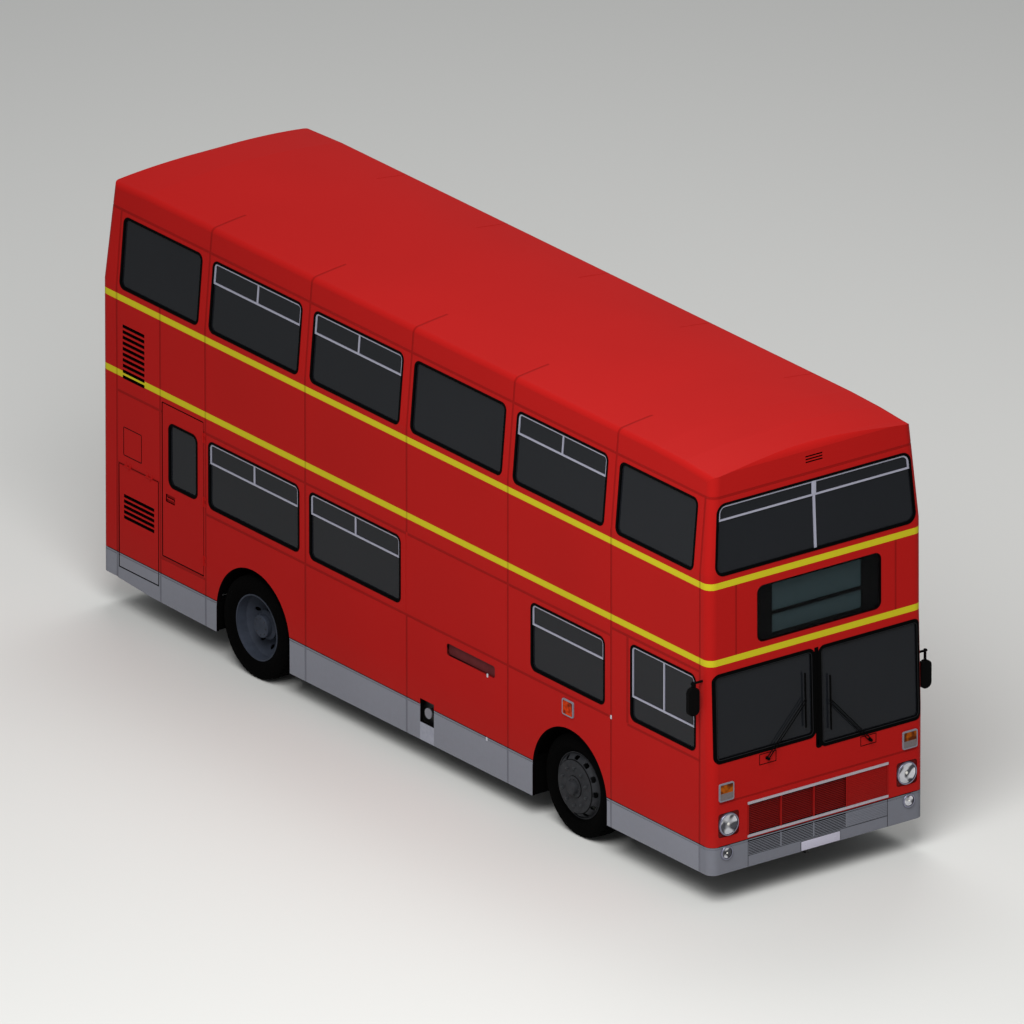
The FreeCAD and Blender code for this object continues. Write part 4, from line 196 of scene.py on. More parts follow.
def depth_in_body(point):
    """How far a point lies below the body's outer skin, its rounded corners included."""
    side = BODY_HALF_WIDTH - lean(point.z, 2) - abs(point.y)
    end = min(BODY_FRONT - lean(point.z, 1) - point.x, point.x - BODY_REAR - lean(point.z, 3))
    if side < BODY_CORNER and end < BODY_CORNER:
        return BODY_CORNER - math.hypot(BODY_CORNER - side, BODY_CORNER - end)
    return min(side, end)


def dress(node, *materials):
    """Gives a CAD node its materials, the first of them everywhere."""
    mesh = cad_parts[node].data
    mesh.materials.clear()
    for material in materials:
        mesh.materials.append(material)
    for face in mesh.polygons:
        face.material_index = 0
    return mesh


def recoat(mesh, turn, chosen):
    """Gives the faces that pass a test another of the mesh's materials, by its turn among them."""
    for face in mesh.polygons:
        if chosen(face):
            face.material_index = turn


def pattern_place(tree):
    """Object coordinates, in metres, as a socket."""
    return add(tree, "TexCoord").outputs["Object"]


def along(tree, place, axis):
    """One coordinate of a place, as a socket."""
    return add(tree, "SeparateXYZ", {}, {0: place}).outputs[axis]


def speckle(tree, place, scale, detail=2.0, rough=0.5):
    """Noise of this many features a metre, from 0 to 1."""
    return add(tree, "TexNoise", {}, {"Vector": place, "Scale": scale, "Detail": detail,
                                      "Roughness": rough}).outputs["Fac"]


def blend_colour(tree, share, first, second):
    """One colour turning into another as the share goes from 0 to 1."""
    return add(tree, "Mix", {"data_type": "RGBA"}, {"Factor": share, 6: first, 7: second}).outputs[2]


def span(tree, value, low, high, out_low=0.0, out_high=1.0):
    """A value mapped from one range to another, held at its ends."""
    return add(tree, "MapRange", {}, {"Value": value, "From Min": low, "From Max": high,
                                      "To Min": out_low, "To Max": out_high}).outputs[0]


def maths(tree, operation, first, second=0.0):
    """Two values put through one arithmetic step."""
    return add(tree, "Math", {"operation": operation}, {0: first, 1: second}).outputs[0]


def waves(tree, value, pitch):
    """A sine wave along a coordinate, repeating at this pitch in metres."""
    return maths(tree, "SINE", maths(tree, "MULTIPLY", value, 2 * math.pi / pitch))


def bumps(tree, height, strength, distance):
    """A bump normal from a height socket; distance is its full depth in metres."""
    return add(tree, "Bump", {}, {"Height": height, "Strength": strength, "Distance": distance}).outputs[0]


def enamel(name, colours, banded, fade_code="6a1210"):
    """Coach enamel: a smooth even gloss with faint orange peel, and a film of road dust low down."""
    material, tree = start_material(name)
    place = pattern_place(tree)
    height = along(tree, place, "Z")
    red, yellow, grey = [linear(code) for code in colours]
    colour = red if banded else grey
    if banded:
        share = 0.0
        for bottom, top in BANDS:
            above = maths(tree, "GREATER_THAN", height, bottom)
            inside = maths(tree, "MULTIPLY", above, maths(tree, "LESS_THAN", height, top))
            share = maths(tree, "ADD", inside, share)
        colour = blend_colour(tree, share, colour, yellow)
        below = maths(tree, "LESS_THAN", height, SKIRT_TOP)
        colour = blend_colour(tree, below, colour, grey)
    # sun-faded patches about 1.5 m across, barely darker
    fade = span(tree, speckle(tree, place, 0.7), 0.35, 0.65, 0.0, 0.07)
    colour = blend_colour(tree, fade, colour, linear(fade_code))
    # dust thrown up by the wheels, up to about 0.9 m, in clots of 50 mm
    dust = maths(tree, "MULTIPLY", span(tree, height, 0.95, 0.3, 0.0, 0.16), speckle(tree, place, 20.0, 4.0))
    colour = blend_colour(tree, dust, colour, linear("5b5148"))
    # orange peel has lumps of 3 mm, drawn at 12 mm so that it shows
    peel = bumps(tree, speckle(tree, place, 80.0), 0.06, 0.0006)
    surface(tree, {"Base Color": colour, "Roughness": span(tree, dust, 0.0, 0.1, 0.4, 0.6),
                   "Specular IOR Level": 0.02, "Normal": peel})
    return material


def plain_finish(name, code, rough, spot_code, spots, share=0.5, metal=0.0, bump=0.0, depth=0.0005,
                 level=0.4):
    """A finish of one colour that breaks up into a second one, with spots of 1/spots metres."""
    material, tree = start_material(name)
    place = pattern_place(tree)
    mottle = speckle(tree, place, spots, 4.0, 0.6)
    colour = blend_colour(tree, span(tree, mottle, 0.4, 0.7, 0.0, share), linear(code), linear(spot_code))
    inputs = {"Base Color": colour, "Roughness": span(tree, mottle, 0.3, 0.7, rough * 0.9, rough * 1.1),
              "Metallic": metal, "Specular IOR Level": level}
    if bump:
        inputs["Normal"] = bumps(tree, mottle, bump, depth)
    surface(tree, inputs)
    return material


def narrow(mesh, face):
    """Whether a face lies in a gap between panels, which is slimmer than a joint strip."""
    corners = [mesh.vertices[i].co for i in face.vertices]
    spans = sorted(max(c[axis] for c in corners) - min(c[axis] for c in corners) for axis in range(3))
    return spans[1] < GAP_WIDEST


def dress_by_depth(node, layers):
    """Gives a panel's faces the first material whose depth below the skin they are within."""
    mesh = dress(node, *[material for limit, material in layers])
    for face in mesh.polygons:
        depth = depth_in_body(face.center)
        turn = next(turn for turn, (limit, material) in enumerate(layers) if depth < limit)
        face.material_index = GAP_TURN if turn == 1 and narrow(mesh, face) else turn
    return mesh


red_enamel = enamel("red_coach_enamel", PANEL_COLOURS, True)
# cover strips over the panel joints, in a thinner and duller coat
joint_enamel = enamel("dull_joint_strip_enamel", STRIP_COLOURS, True)
# painted shade: shallow wells and narrow gaps below the skin take this darker red
shaded_enamel = plain_finish("painted_shade_red", "5e0f0e", 0.6, "480b0a", 30.0, 0.6, level=0.1)
# painted shade: the deeper gaps, slots and cut edges of the panels are black
black_painted_shade = plain_finish("painted_shade_black", "060304", 0.9, "030202", 60.0, level=0.02)
# the body's inside: grey laminate with a fine printed fleck of 4 mm
inner_laminate = plain_finish("grey_flecked_laminate", "8b8a86", 0.5, "6f6e6b", 250.0, 0.6)
# depths below the skin: its own faces, the joint strips, the shallow wells in painted shade, the inside's
# lining with black painted shade above it
SKIN = 0.0009
JOINT = 0.0022
WELL = 0.0115
LINING = 0.042
# a gap between panels is slimmer than this, and takes this turn of its panel's materials, a painted shade
GAP_WIDEST = 0.0065
GAP_TURN = 2
# a face whose normal has this much of an axis faces along it
FACES_AXIS = 0.9
PANEL_LAYERS = ((SKIN, red_enamel), (JOINT, joint_enamel), (WELL, shaded_enamel), (LINING, black_painted_shade),
                (BODY_HALF_WIDTH, inner_laminate))
for node in ("offside_lower_wall", "nearside_lower_wall", "offside_upper_wall", "nearside_upper_wall",
             "front_lower_panel", "front_upper_panel", "rear_lower_panel", "rear_upper_panel",
             "emergency_door", "engine_side_door", "engine_cover"):
    dress_by_depth(node, PANEL_LAYERS)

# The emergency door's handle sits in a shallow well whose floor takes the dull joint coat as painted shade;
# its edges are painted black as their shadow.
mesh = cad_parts["emergency_door"].data
for face in mesh.polygons:
    if SKIN < depth_in_body(face.center) < LINING:
        face.material_index = 1 if face.normal.y < -FACES_AXIS else 3

# Over the filler, the upright strip reaches only as high as the strip below the windows.
MIDDLE_STRIP_X, MIDDLE_STRIP_HALF, STRIP_FOOT, STRIP_HEAD = 0.048, 0.014, 1.450, 2.322
for node in ("offside_lower_wall", "nearside_lower_wall"):
    recoat(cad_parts[node].data, 0,
           lambda face: abs(face.center.x - MIDDLE_STRIP_X) < MIDDLE_STRIP_HALF and face.material_index == 1
           and STRIP_FOOT < face.center.z < STRIP_HEAD)

# The recessed grab rail's floor is painted a darker, brownish red.
pocket_enamel = plain_finish("dull_pocket_enamel", "5c2224", 0.7, "4e1d20", 8.0, 0.6, level=0.1)
POCKET_REAR, POCKET_FRONT, POCKET_FOOT, POCKET_HEAD = 0.674, 1.423, 1.235, 1.355
POCKET_NEAR, POCKET_FAR = 0.020, 0.027
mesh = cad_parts["offside_lower_wall"].data
mesh.materials.append(pocket_enamel)
recoat(mesh, len(PANEL_LAYERS),
       lambda face: face.center.y < 0 and POCKET_NEAR < depth_in_body(face.center) < POCKET_FAR
       and POCKET_REAR < face.center.x < POCKET_FRONT and POCKET_FOOT < face.center.z < POCKET_HEAD)

# The roof's joint strips lie across it over the pillars, and one runs round above the windows.
mesh = dress("roof", red_enamel, joint_enamel, inner_laminate, black_painted_shade)
PILLARS = (3.226, 1.625, 0.048, -1.541, -3.116)
STRIP_HALF = 0.0132
CANTRAIL_STRIP_TOP = 4.0805
# the ventilator's slots lie in the middle of the roof's front end, behind its skin, and are painted black as
# their shade
VENT_REAR, VENT_HALF, VENT_TOP, VENT_DEPTH = 4.5, 0.115, 4.25, 0.004
# upward part of a face's normal: above the first it is the roof's top, below the second its inside
TOP_FACES, CEILING_FACES = 0.85, -0.2
for face in mesh.polygons:
    corners = [mesh.vertices[i].co for i in face.vertices]
    across = any(all(abs(c.x - pillar) < STRIP_HALF for c in corners) for pillar in PILLARS)
    # on the nearside half of the roof's top the strips are sprayed in with the panels
    sprayed_in = face.center.y > 0 and face.normal.z > TOP_FACES
    if face.normal.z < CEILING_FACES:
        face.material_index = 2
    elif (across and not sprayed_in) or max(c.z for c in corners) < CANTRAIL_STRIP_TOP:
        face.material_index = 1
    elif (face.center.x > VENT_REAR and abs(face.center.y) < VENT_HALF and face.center.z < VENT_TOP
          and depth_in_body(face.center) > VENT_DEPTH):
        face.material_index = 3

# ---- Skirts and bumpers ----
# Glass-fibre skirts below the floor, sprayed satin grey, with road dirt low down.

grey_enamel = enamel("grey_skirt_enamel", PANEL_COLOURS, False, "50525a")
grey_joint = enamel("grey_joint_strip_enamel", STRIP_COLOURS, False, "50525a")
bumper_grey = enamel("grey_bumper_enamel", ("000000", "000000", "74767f"), False, "50525a")
# painted shadow: the groove along the skirts' top, under the red panels' edge, is black, as are the skirts'
# deeper faces
TOP_GAP = 0.6005
for node, coat in (("side_skirts", grey_enamel), ("front_bumper", bumper_grey), ("rear_bumper", grey_enamel)):
    mesh = dress_by_depth(node, ((SKIN, coat), (JOINT, grey_joint), (BODY_HALF_WIDTH, black_painted_shade)))
    recoat(mesh, 2, lambda face: face.material_index == 1 and face.center.z > TOP_GAP)

# ---- Glazing ----
# Tinted toughened panes held in black extruded rubber; the opening lights have frames of
# satin anodised aluminium. Dark glass, so the saloon behind it shows only faintly.

tinted_glass, tree = start_material("dark_tinted_glass")
smear = speckle(tree, pattern_place(tree), 1.4, 3.0)
GLASS_COVER = 0.955
surface(tree, {"Base Color": blend_colour(tree, smear, linear("17191d"), linear("1b1d21")),
               "Roughness": span(tree, smear, 0.3, 0.7, 0.05, 0.12), "Alpha": GLASS_COVER,
               "Specular IOR Level": 0.12})
glazing_rubber = plain_finish("black_glazing_rubber", "020202", 0.85, "070707", 90.0, 0.6, bump=0.15,
                              level=0.03)
anodised = plain_finish("satin_anodised_aluminium", "a2a2b2", 0.42, "9c9caa", 140.0, 0.5, metal=0.25,
                        bump=0.05)
for node in ("windscreen", "saloon_glass", "emergency_door_glass", "entrance_glass_1",
             "entrance_glass_2", "entrance_glass_3", "entrance_glass_4"):
    dress(node, tinted_glass)
dress("window_frames", glazing_rubber)
dress("hopper_frames", anodised)

# edges that turn by more than this stay sharp when a piece is smoothed
SHARP = math.radians(32)
# a flat shape's own X, Y and outward Z, turned to face each way
FACING = {
    "front": Matrix(((0, 0, 1), (1, 0, 0), (0, 1, 0))),
    "rear": Matrix(((0, 0, -1), (-1, 0, 0), (0, 1, 0))),
    "offside": Matrix(((1, 0, 0), (0, 0, -1), (0, 1, 0))),
    "nearside": Matrix(((-1, 0, 0), (0, 0, 1), (0, 1, 0))),
}


def finish_piece(name, bm, materials, body):
    """A new object from a finished bmesh, with these materials; it rides on a body."""
    bmesh.ops.remove_doubles(bm, verts=bm.verts[:], dist=1e-6)
    bmesh.ops.recalc_face_normals(bm, faces=bm.faces[:])
    mesh = bpy.data.meshes.new(name)
    bm.to_mesh(mesh)
    bm.free()
    for material in materials:
        mesh.materials.append(material)
    mesh.shade_smooth()
    mesh.set_sharp_from_angle(angle=SHARP)
    piece = new_object(name, mesh)
    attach(piece, body)
    return piece


def follow_front(bm):
    """Bends a piece made on the flat front plane to the panel's lean and its rounded corners."""
    everything = bm.verts[:] + bm.edges[:] + bm.faces[:]
    bmesh.ops.bisect_plane(bm, geom=everything, plane_co=(0, 0, BODY_LEAN[1][0]), plane_no=(0, 0, 1))
    for v in bm.verts:
        run = max(0.0, abs(v.co.y) - (BODY_HALF_WIDTH - BODY_CORNER))
        v.co.x -= lean(v.co.z, 1) + BODY_CORNER - math.sqrt(BODY_CORNER ** 2 - run ** 2)


def put(bm, verts, way, place):
    """Turns flat-made vertices to face a way, and moves them there."""
    bmesh.ops.transform(bm, matrix=Matrix.Translation(place) @ way.to_4x4(), verts=verts)


def added(items, before):
    """The vertices or faces made since this set of vertices was taken."""
    return [item for item in items if (item.verts[0] if hasattr(item, "verts") else item) not in before]


def soften(bm, geom, offset, segments, affect):
    """A round bevel of vertices or edges."""
    bmesh.ops.bevel(bm, geom=geom, offset=offset, offset_type="OFFSET", segments=segments, profile=0.5,
                    affect=affect, material=-1, clamp_overlap=True)


def rounded_face(bm, wide, high, corner, segments):
    """A flat rounded rectangle on the XY plane; returns the set of the vertices before it."""
    before = set(bm.verts)
    bmesh.ops.create_grid(bm, x_segments=1, y_segments=1, size=0.5)
    made = added(bm.verts, before)
    bmesh.ops.scale(bm, vec=(wide, high, 1.0), verts=made)
    soften(bm, made, corner, segments, "VERTICES")
    return before


def thicken(bm, before, thick):
    """Raises the faces made since then towards Z; returns the raised vertices."""
    risen = bmesh.ops.extrude_face_region(bm, geom=added(bm.faces, before))
    top = [v for v in risen["geom"] if isinstance(v, bmesh.types.BMVert)]
    bmesh.ops.translate(bm, vec=(0, 0, thick), verts=top)
    return top


def rounded_plate(bm, wide, high, corner, thick, soft=0.0, material=0):
    """A plate with round corners, on the XY plane and thick towards Z; returns its vertices."""
    before = rounded_face(bm, wide, high, corner, 6)
    top = thicken(bm, before, thick)
    if soft:
        soften(bm, [e for e in bm.edges if e.verts[0] in top and e.verts[1] in top], soft, 3, "EDGES")
    for f in added(bm.faces, before):
        f.material_index = material
    return added(bm.verts, before)


def stick(bm, way, place, *plate):
    """A rounded plate of these sizes, facing a way, with the middle of its back at a place."""
    put(bm, rounded_plate(bm, *plate), FACING[way], place)


def plates(name, material, way, rows):
    """A piece of the body made of plates that face one way; each row is X, Y, Z and the plate's sizes."""
    bm = bmesh.new()
    for x, y, z, *plate in rows:
        stick(bm, way, (x, y, z), *plate)
    finish_piece(name, bm, [material], "bus_body")


def rounded_ring(bm, wide, high, corner, band, thick):
    """A rounded frame of this band width, on the XY plane and thick towards Z."""
    before = rounded_face(bm, wide, high, corner, 8)
    face = added(bm.faces, before)
    bmesh.ops.inset_region(bm, faces=face, thickness=band, depth=0.0, use_even_offset=True, use_boundary=True)
    bmesh.ops.delete(bm, geom=face, context="FACES")
    thicken(bm, before, thick)
    return added(bm.verts, before)


def drum(bm, segments, foot, head, depth, matrix=Matrix()):
    """A closed cylinder or cone along Z, its middle moved by a matrix; returns its vertices."""
    made = bmesh.ops.create_cone(bm, cap_ends=True, segments=segments, radius1=foot, radius2=head,
                                 depth=depth, matrix=matrix)
    return made["verts"]


# The emergency door's pane has its own rubber, which turns with the door.
DOOR_PANE_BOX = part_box("emergency_door_glass")
pane_low, pane_high = Vector(DOOR_PANE_BOX[0]), Vector(DOOR_PANE_BOX[1])
pane_middle = (pane_low + pane_high) / 2
RUBBER_BAND, RUBBER_THICK, RUBBER_CORNER = 0.026, 0.014, 0.079
# how far the rubber laps over its pane, both sides together, and stands out of the skin
RUBBER_LAP, RUBBER_STANDOUT = 0.008, 0.003
bm = bmesh.new()
wide, high = pane_high.x - pane_low.x + RUBBER_LAP, pane_high.z - pane_low.z + RUBBER_LAP
ring = rounded_ring(bm, wide, high, RUBBER_CORNER, RUBBER_BAND, RUBBER_THICK)
put(bm, ring, FACING["offside"],
    (pane_middle.x, -BODY_HALF_WIDTH - RUBBER_STANDOUT + RUBBER_THICK, pane_middle.z))
finish_piece("door_pane_rubber", bm, [glazing_rubber], "offside_emergency_door")

# A thin dark grey filler strip is pressed into the groove of each windscreen rubber.
filler_strip = plain_finish("grey_filler_strip", "1f2023", 0.6, "17181a", 120.0, level=0.1)
# the rubbers' outer edges: left, right, foot, head
SCREENS = ((-1.212, -0.020, 1.436, 2.328), (0.020, 1.212, 1.318, 2.328))
# the strip's distance inside the rubber's edge, its corner, width, thickness and sunk depth
STRIP_INSET, STRIP_CORNER, STRIP_BAND, STRIP_THICK, STRIP_SUNK = 0.045 - 0.010, 0.042, 0.005, 0.004, 0.002
STRIP_X = BODY_FRONT + RUBBER_STANDOUT - STRIP_SUNK
bm = bmesh.new()
for left, right, foot, head in SCREENS:
    ring = rounded_ring(bm, right - left - 2 * STRIP_INSET, head - foot - 2 * STRIP_INSET, STRIP_CORNER,
                        STRIP_BAND, STRIP_THICK)
    put(bm, ring, FACING["front"], (STRIP_X, (left + right) / 2, (foot + head) / 2))
follow_front(bm)
finish_piece("windscreen_filler_strips", bm, [filler_strip], "bus_body")

# A black rubber-faced capping covers the pillar between the windscreens, with a rib at each side.
PILLAR_FOOT, PILLAR_HEAD = 1.352, 2.322
# Y, width and thickness of the capping and its two ribs
CAPPING = ((0.0, 0.046, 0.0025), (-0.015, 0.007, 0.007), (0.015, 0.007, 0.007))
bm = bmesh.new()
for y, wide, thick in CAPPING:
    stick(bm, "front", (BODY_FRONT, y, (PILLAR_FOOT + PILLAR_HEAD) / 2),
          wide, PILLAR_HEAD - PILLAR_FOOT, 0.003, thick, 0.001)
# its foot fills the corner of the deeper windscreen
stick(bm, "front", (BODY_FRONT, 0.015, 1.3635), 0.076, 0.085, 0.030, 0.0025)
follow_front(bm)
finish_piece("pillar_capping", bm, [glazing_rubber], "bus_body")

# ---- Destination box ----
# A black pressed mask round two blank blinds, behind a flat pane. The blinds are unlettered
# dark green-grey cloth, pulled flat, with the faint ribs of their backing.

mask_paint = plain_finish("black_mask_enamel", "030304", 0.8, "070708", 30.0, level=0.03)
clear_pane, tree = start_material("clear_flat_glass")
smear = speckle(tree, pattern_place(tree), 2.0, 3.0)
surface(tree, {"Base Color": linear("0a0c0d"), "Roughness": span(tree, smear, 0.3, 0.7, 0.04, 0.1),
               "Alpha": 0.12, "Specular IOR Level": 0.2})
mesh = dress("destination_box", mask_paint, clear_pane)
# depths below the skin between which the pane lies
PANE_NEAR, PANE_FAR = 0.0105, 0.0235
for face in mesh.polygons:
    depths = [depth_in_body(mesh.vertices[i].co) for i in face.vertices]
    if PANE_NEAR < min(depths) and max(depths) < PANE_FAR and abs(face.normal.x) > FACES_AXIS:
        face.material_index = 1

blind_cloth, tree = start_material("blank_blind_cloth")
place = pattern_place(tree)
# cloth ribs of 2 mm, drawn 12 mm apart so that they show
ribs = waves(tree, along(tree, place, "Z"), 0.012)
colour = blend_colour(tree, speckle(tree, place, 3.0), linear("2b3a3e"), linear("324448"))
surface(tree, {"Base Color": colour, "Roughness": 0.8, "Normal": bumps(tree, ribs, 0.2, 0.0008),
               "Specular IOR Level": 0.2})
# left, right, foot, head of each blind, a little larger than its opening
BLINDS = ((-0.49, 0.584, 2.551, 2.760), (-0.49, 0.584, 2.770, 3.066))
BLIND_DEPTH = 0.068
plates("destination_blinds", blind_cloth, "front",
       [(BODY_FRONT - lean((foot + head) / 2, 1) - BLIND_DEPTH, (left + right) / 2, (foot + head) / 2,
         right - left, head - foot, 0.004, 0.003) for left, right, foot, head in BLINDS])

# ---- Front grille ----
# Pressed blades between bright trim rails, painted in darker reds as their shade; the right-hand bay is a
# plain ribbed panel. The same ribs go on below it in the grey bumper.

grille_shade_red = plain_finish("painted_shade_grille_red", "7a0f0d", 0.6, "5c0b0a", 50.0, level=0.1)
bright_trim = plain_finish("bright_trim_rail", "a9a3ab", 0.35, "918b95", 100.0, metal=0.3)
mesh = dress("front_grille", grille_shade_red, bright_trim, joint_enamel)
# foot and head of each rail
TRIM_RAILS = ((0.622, 0.650), (0.952, 0.980))
# painted shade: the grille's recessed blades take a dark red and its proud posts the duller joint coat
for face in mesh.polygons:
    heights = [mesh.vertices[i].co.z for i in face.vertices]
    on_rail = any(low < min(heights) and max(heights) < high for low, high in TRIM_RAILS)
    face.material_index = 1 if on_rail else 2 if face.center.x > BODY_FRONT else 0

# slot, materials of the ribs and of the sheet under them; left, right, foot, head, rib pitch
RIBBED = (("red_paint", (joint_enamel, joint_enamel), 0.346, 0.806, 0.650, 0.952, 0.018),
          ("grey_paint", (bumper_grey, grey_joint), 0.346, 0.812, 0.446, 0.582, 0.016))
# how far a rib and the sheet stand out, a rib's soft edge, and its share of the pitch
RIB_RISE, RIB_SHEET, RIB_SOFT, RIB_SHARE = 0.0028, 0.0006, 0.0015, 0.62
for slot, materials, left, right, foot, head, pitch in RIBBED:
    bm = bmesh.new()
    middle = (left + right) / 2
    stick(bm, "front", (BODY_FRONT, middle, (foot + head) / 2), right - left, head - foot, 0.002, RIB_SHEET,
          0.0, 1)
    for rib in range(int((head - foot) / pitch)):
        stick(bm, "front", (BODY_FRONT, middle, foot + pitch * (rib + 0.5)),
              right - left, pitch * RIB_SHARE, 0.002, RIB_RISE, RIB_SOFT)
    finish_piece("ribbed_panel_" + slot, bm, list(materials), "bus_body")

# ---- Number plates ----
# Blank reflective plates, pale in front and yellow behind, with a thin black edge and two
# screw heads; nothing is written on them.

pale_plate = plain_finish("pale_plate_sheeting", "b6b3c3", 0.4, "a8a5b4", 220.0, 0.4, bump=0.1)
amber_plate = plain_finish("amber_plate_sheeting", "c9a22a", 0.4, "b8922a", 220.0, 0.4, bump=0.1)
plate_edge = plain_finish("black_plate_edge", "141416", 0.5, "1d1d20", 60.0)
# name, facing, sheeting, X, Y, Z of the middle of its back
PLATES = (("front_number_plate", "front", pale_plate, BODY_FRONT, 0.032, 0.377),
          ("rear_number_plate", "rear", amber_plate, BODY_REAR, 0.0, 0.490))
PLATE_WIDE, PLATE_HIGH, PLATE_EDGE = 0.462, 0.100, 0.010
SCREW_OUT = 0.17
for name, way, sheeting, x, y, z in PLATES:
    bm = bmesh.new()
    made = rounded_plate(bm, PLATE_WIDE, PLATE_HIGH, 0.008, 0.004, 0.0, 1)
    made += rounded_plate(bm, PLATE_WIDE - PLATE_EDGE, PLATE_HIGH - PLATE_EDGE, 0.006, 0.006, 0.001, 0)
    for side in (-1, 1):
        made += drum(bm, 12, 0.007, 0.005, 0.003, Matrix.Translation((side * SCREW_OUT, 0, 0.0075)))
    put(bm, made, FACING[way], (x, y, z))
    finish_piece(name, bm, [sheeting, plate_edge], "bus_body")

# ---- Lamps ----
# Sealed-beam lamps: a chromed bezel and a shallow dished reflector behind domed fluted glass.
# Indicators and tail lamps are moulded lenses in metal frames; the front ones have a white foot.

chrome = plain_finish("dulled_chrome", "8a8a9c", 0.3, "74748a", 12.0, metal=0.8)
fluted_glass, tree = start_material("fluted_lamp_glass")
# flutes are 8 mm apart
flutes = waves(tree, along(tree, pattern_place(tree), "Y"), 0.008)
surface(tree, {"Base Color": linear("3a3d44"), "Roughness": 0.08, "Alpha": 0.12,
               "Normal": bumps(tree, flutes, 0.35, 0.001)})
# painted reflection: the reflector's bright and dark blotches stand in for the reflections in its plating
painted_reflection_reflector, tree = start_material("reflector_painted_reflections")
mottle = span(tree, speckle(tree, pattern_place(tree), 14.0, 0.0), 0.42, 0.58)
surface(tree, {"Base Color": blend_colour(tree, mottle, linear("e4e4ea"), linear("4a4a50")),
               "Metallic": 0.6, "Roughness": 0.3})
bulb_frost = plain_finish("frosted_bulb", "f4f2ea", 0.3, "e6e2d6", 80.0)
# Y, Z, radius of the bezel, X of the panel behind it
LAMP_ROWS = ((1.043, 0.813, 0.113, BODY_FRONT - 0.010), (1.066, 0.530, 0.069, BODY_FRONT))
LAMP_BEZEL = 0.014
# height between the headlamps and the fog lamps, and how far a bezel's faces reach past the glass
LAMPS_APART, BEZEL_REACH = 0.66, 0.0008
mesh = dress("headlamps", fluted_glass, chrome)
for face in mesh.polygons:
    y, z, radius = LAMP_ROWS[0 if face.center.z > LAMPS_APART else 1][:3]
    reach = max(math.hypot(abs(mesh.vertices[i].co.y) - y, mesh.vertices[i].co.z - z) for i in face.vertices)
    if reach > radius - LAMP_BEZEL + BEZEL_REACH:
        face.material_index = 1
bm = bmesh.new()
for y, z, radius, foot in LAMP_ROWS:
    glass = radius - LAMP_BEZEL
    for side in (-1, 1):
        # half of the dish's section, from its middle out to the rim, spun round the beam
        section = [(0.0015, 0.0), (0.002, glass * 0.3), (0.005, glass * 0.62), (0.010, glass * 0.86),
                   (BODY_FRONT + 0.004 - foot, glass * 0.985)]
        points = [bm.verts.new((foot + dx, side * y, z + r)) for dx, r in section]
        edges = [bm.edges.new(pair) for pair in zip(points, points[1:])]
        bmesh.ops.spin(bm, geom=points + edges, cent=(foot, side * y, z), axis=(1, 0, 0), angle=2 * math.pi,
                       steps=40, use_merge=True)
        bulb = bmesh.ops.create_uvsphere(bm, u_segments=16, v_segments=10, radius=glass * 0.16)["verts"]
        bmesh.ops.scale(bm, vec=(0.45, 1, 1), verts=bulb)
        bmesh.ops.translate(bm, vec=(foot + 0.010, side * y, z), verts=bulb)
        for f in {f for v in bulb for f in v.link_faces}:
            f.material_index = 1
finish_piece("lamp_reflectors", bm, [painted_reflection_reflector, bulb_frost], "bus_body")


# the share of a lens's darkening that its ribs make, as painted shade along them; cloudy patches 70 mm across
# make the rest
RIB_SHADE = 0.25


def lens_material(name, code, rib):
    """A moulded lens: coloured plastic, unevenly dim, with ribs this far apart on its back."""
    material, tree = start_material(name)
    place = pattern_place(tree)
    height = along(tree, place, "Z")
    ribs = waves(tree, height, rib)
    shade = span(tree, speckle(tree, place, 15.0), 0.40, 0.62, 0.0, 1.0 - RIB_SHADE)
    # the ribs' shade is painted into the colour, in step with their bumps
    dim = maths(tree, "ADD", shade, span(tree, ribs, -1.0, 1.0, 0.0, RIB_SHADE))
    colour = blend_colour(tree, dim, linear(code), linear("3a1208"))
    surface(tree, {"Base Color": colour, "Roughness": 0.3, "Normal": bumps(tree, ribs, 0.3, 0.001),
                   "Specular IOR Level": 0.03})
    return material


LENS_RIB = 0.012
amber_lens = lens_material("amber_moulded_lens", "a3520c", LENS_RIB)
orange_lens = lens_material("orange_moulded_lens", "d23a04", LENS_RIB)
red_lens = lens_material("red_moulded_lens", "a31210", LENS_RIB)
white_lens = plain_finish("white_moulded_lens", "6d6566", 0.3, "574f51", 70.0, level=0.1)
# width of the metal frame round a lens
FRAME_BAND = 0.0125
# each lamp's edges across (Y, or X at the sides), then its foot and head
FRONT_INDICATOR, REAR_INDICATOR = (0.988, 1.160, 1.057, 1.236), (1.060, 1.160, 1.260, 1.400)
SIDE_INDICATOR, TAIL_LAMP = (2.481, 2.653, 1.232, 1.393), (1.060, 1.160, 1.040, 1.240)
# the front lens is white below this height; lamps beyond this distance from the middle are on an end
WHITE_FOOT_TOP, END_LAMPS = 1.135, 4.7


def in_frame(lamp, across, height):
    """Whether a place on a lamp lies in its frame."""
    low, high, foot, head = lamp
    return min(across - low, high - across, height - foot, head - height) < FRAME_BAND


lamp_frame = plain_finish("dulled_lamp_frame", "787882", 0.5, "6c6c76", 140.0, level=0.2)
mesh = dress("indicator_lamps", amber_lens, lamp_frame, white_lens, orange_lens)
for face in mesh.polygons:
    x, y, z = face.center
    if x > END_LAMPS:
        lens, frame_here = 2 if z < WHITE_FOOT_TOP else 0, in_frame(FRONT_INDICATOR, abs(y), z)
    elif x < -END_LAMPS:
        lens, frame_here = 0, in_frame(REAR_INDICATOR, abs(y), z)
    else:
        lens, frame_here = 3, in_frame(SIDE_INDICATOR, x, z)
    face.material_index = 1 if frame_here else lens
recoat(dress("tail_lamps", red_lens, anodised), 1,
       lambda face: in_frame(TAIL_LAMP, abs(face.center.y), face.center.z))

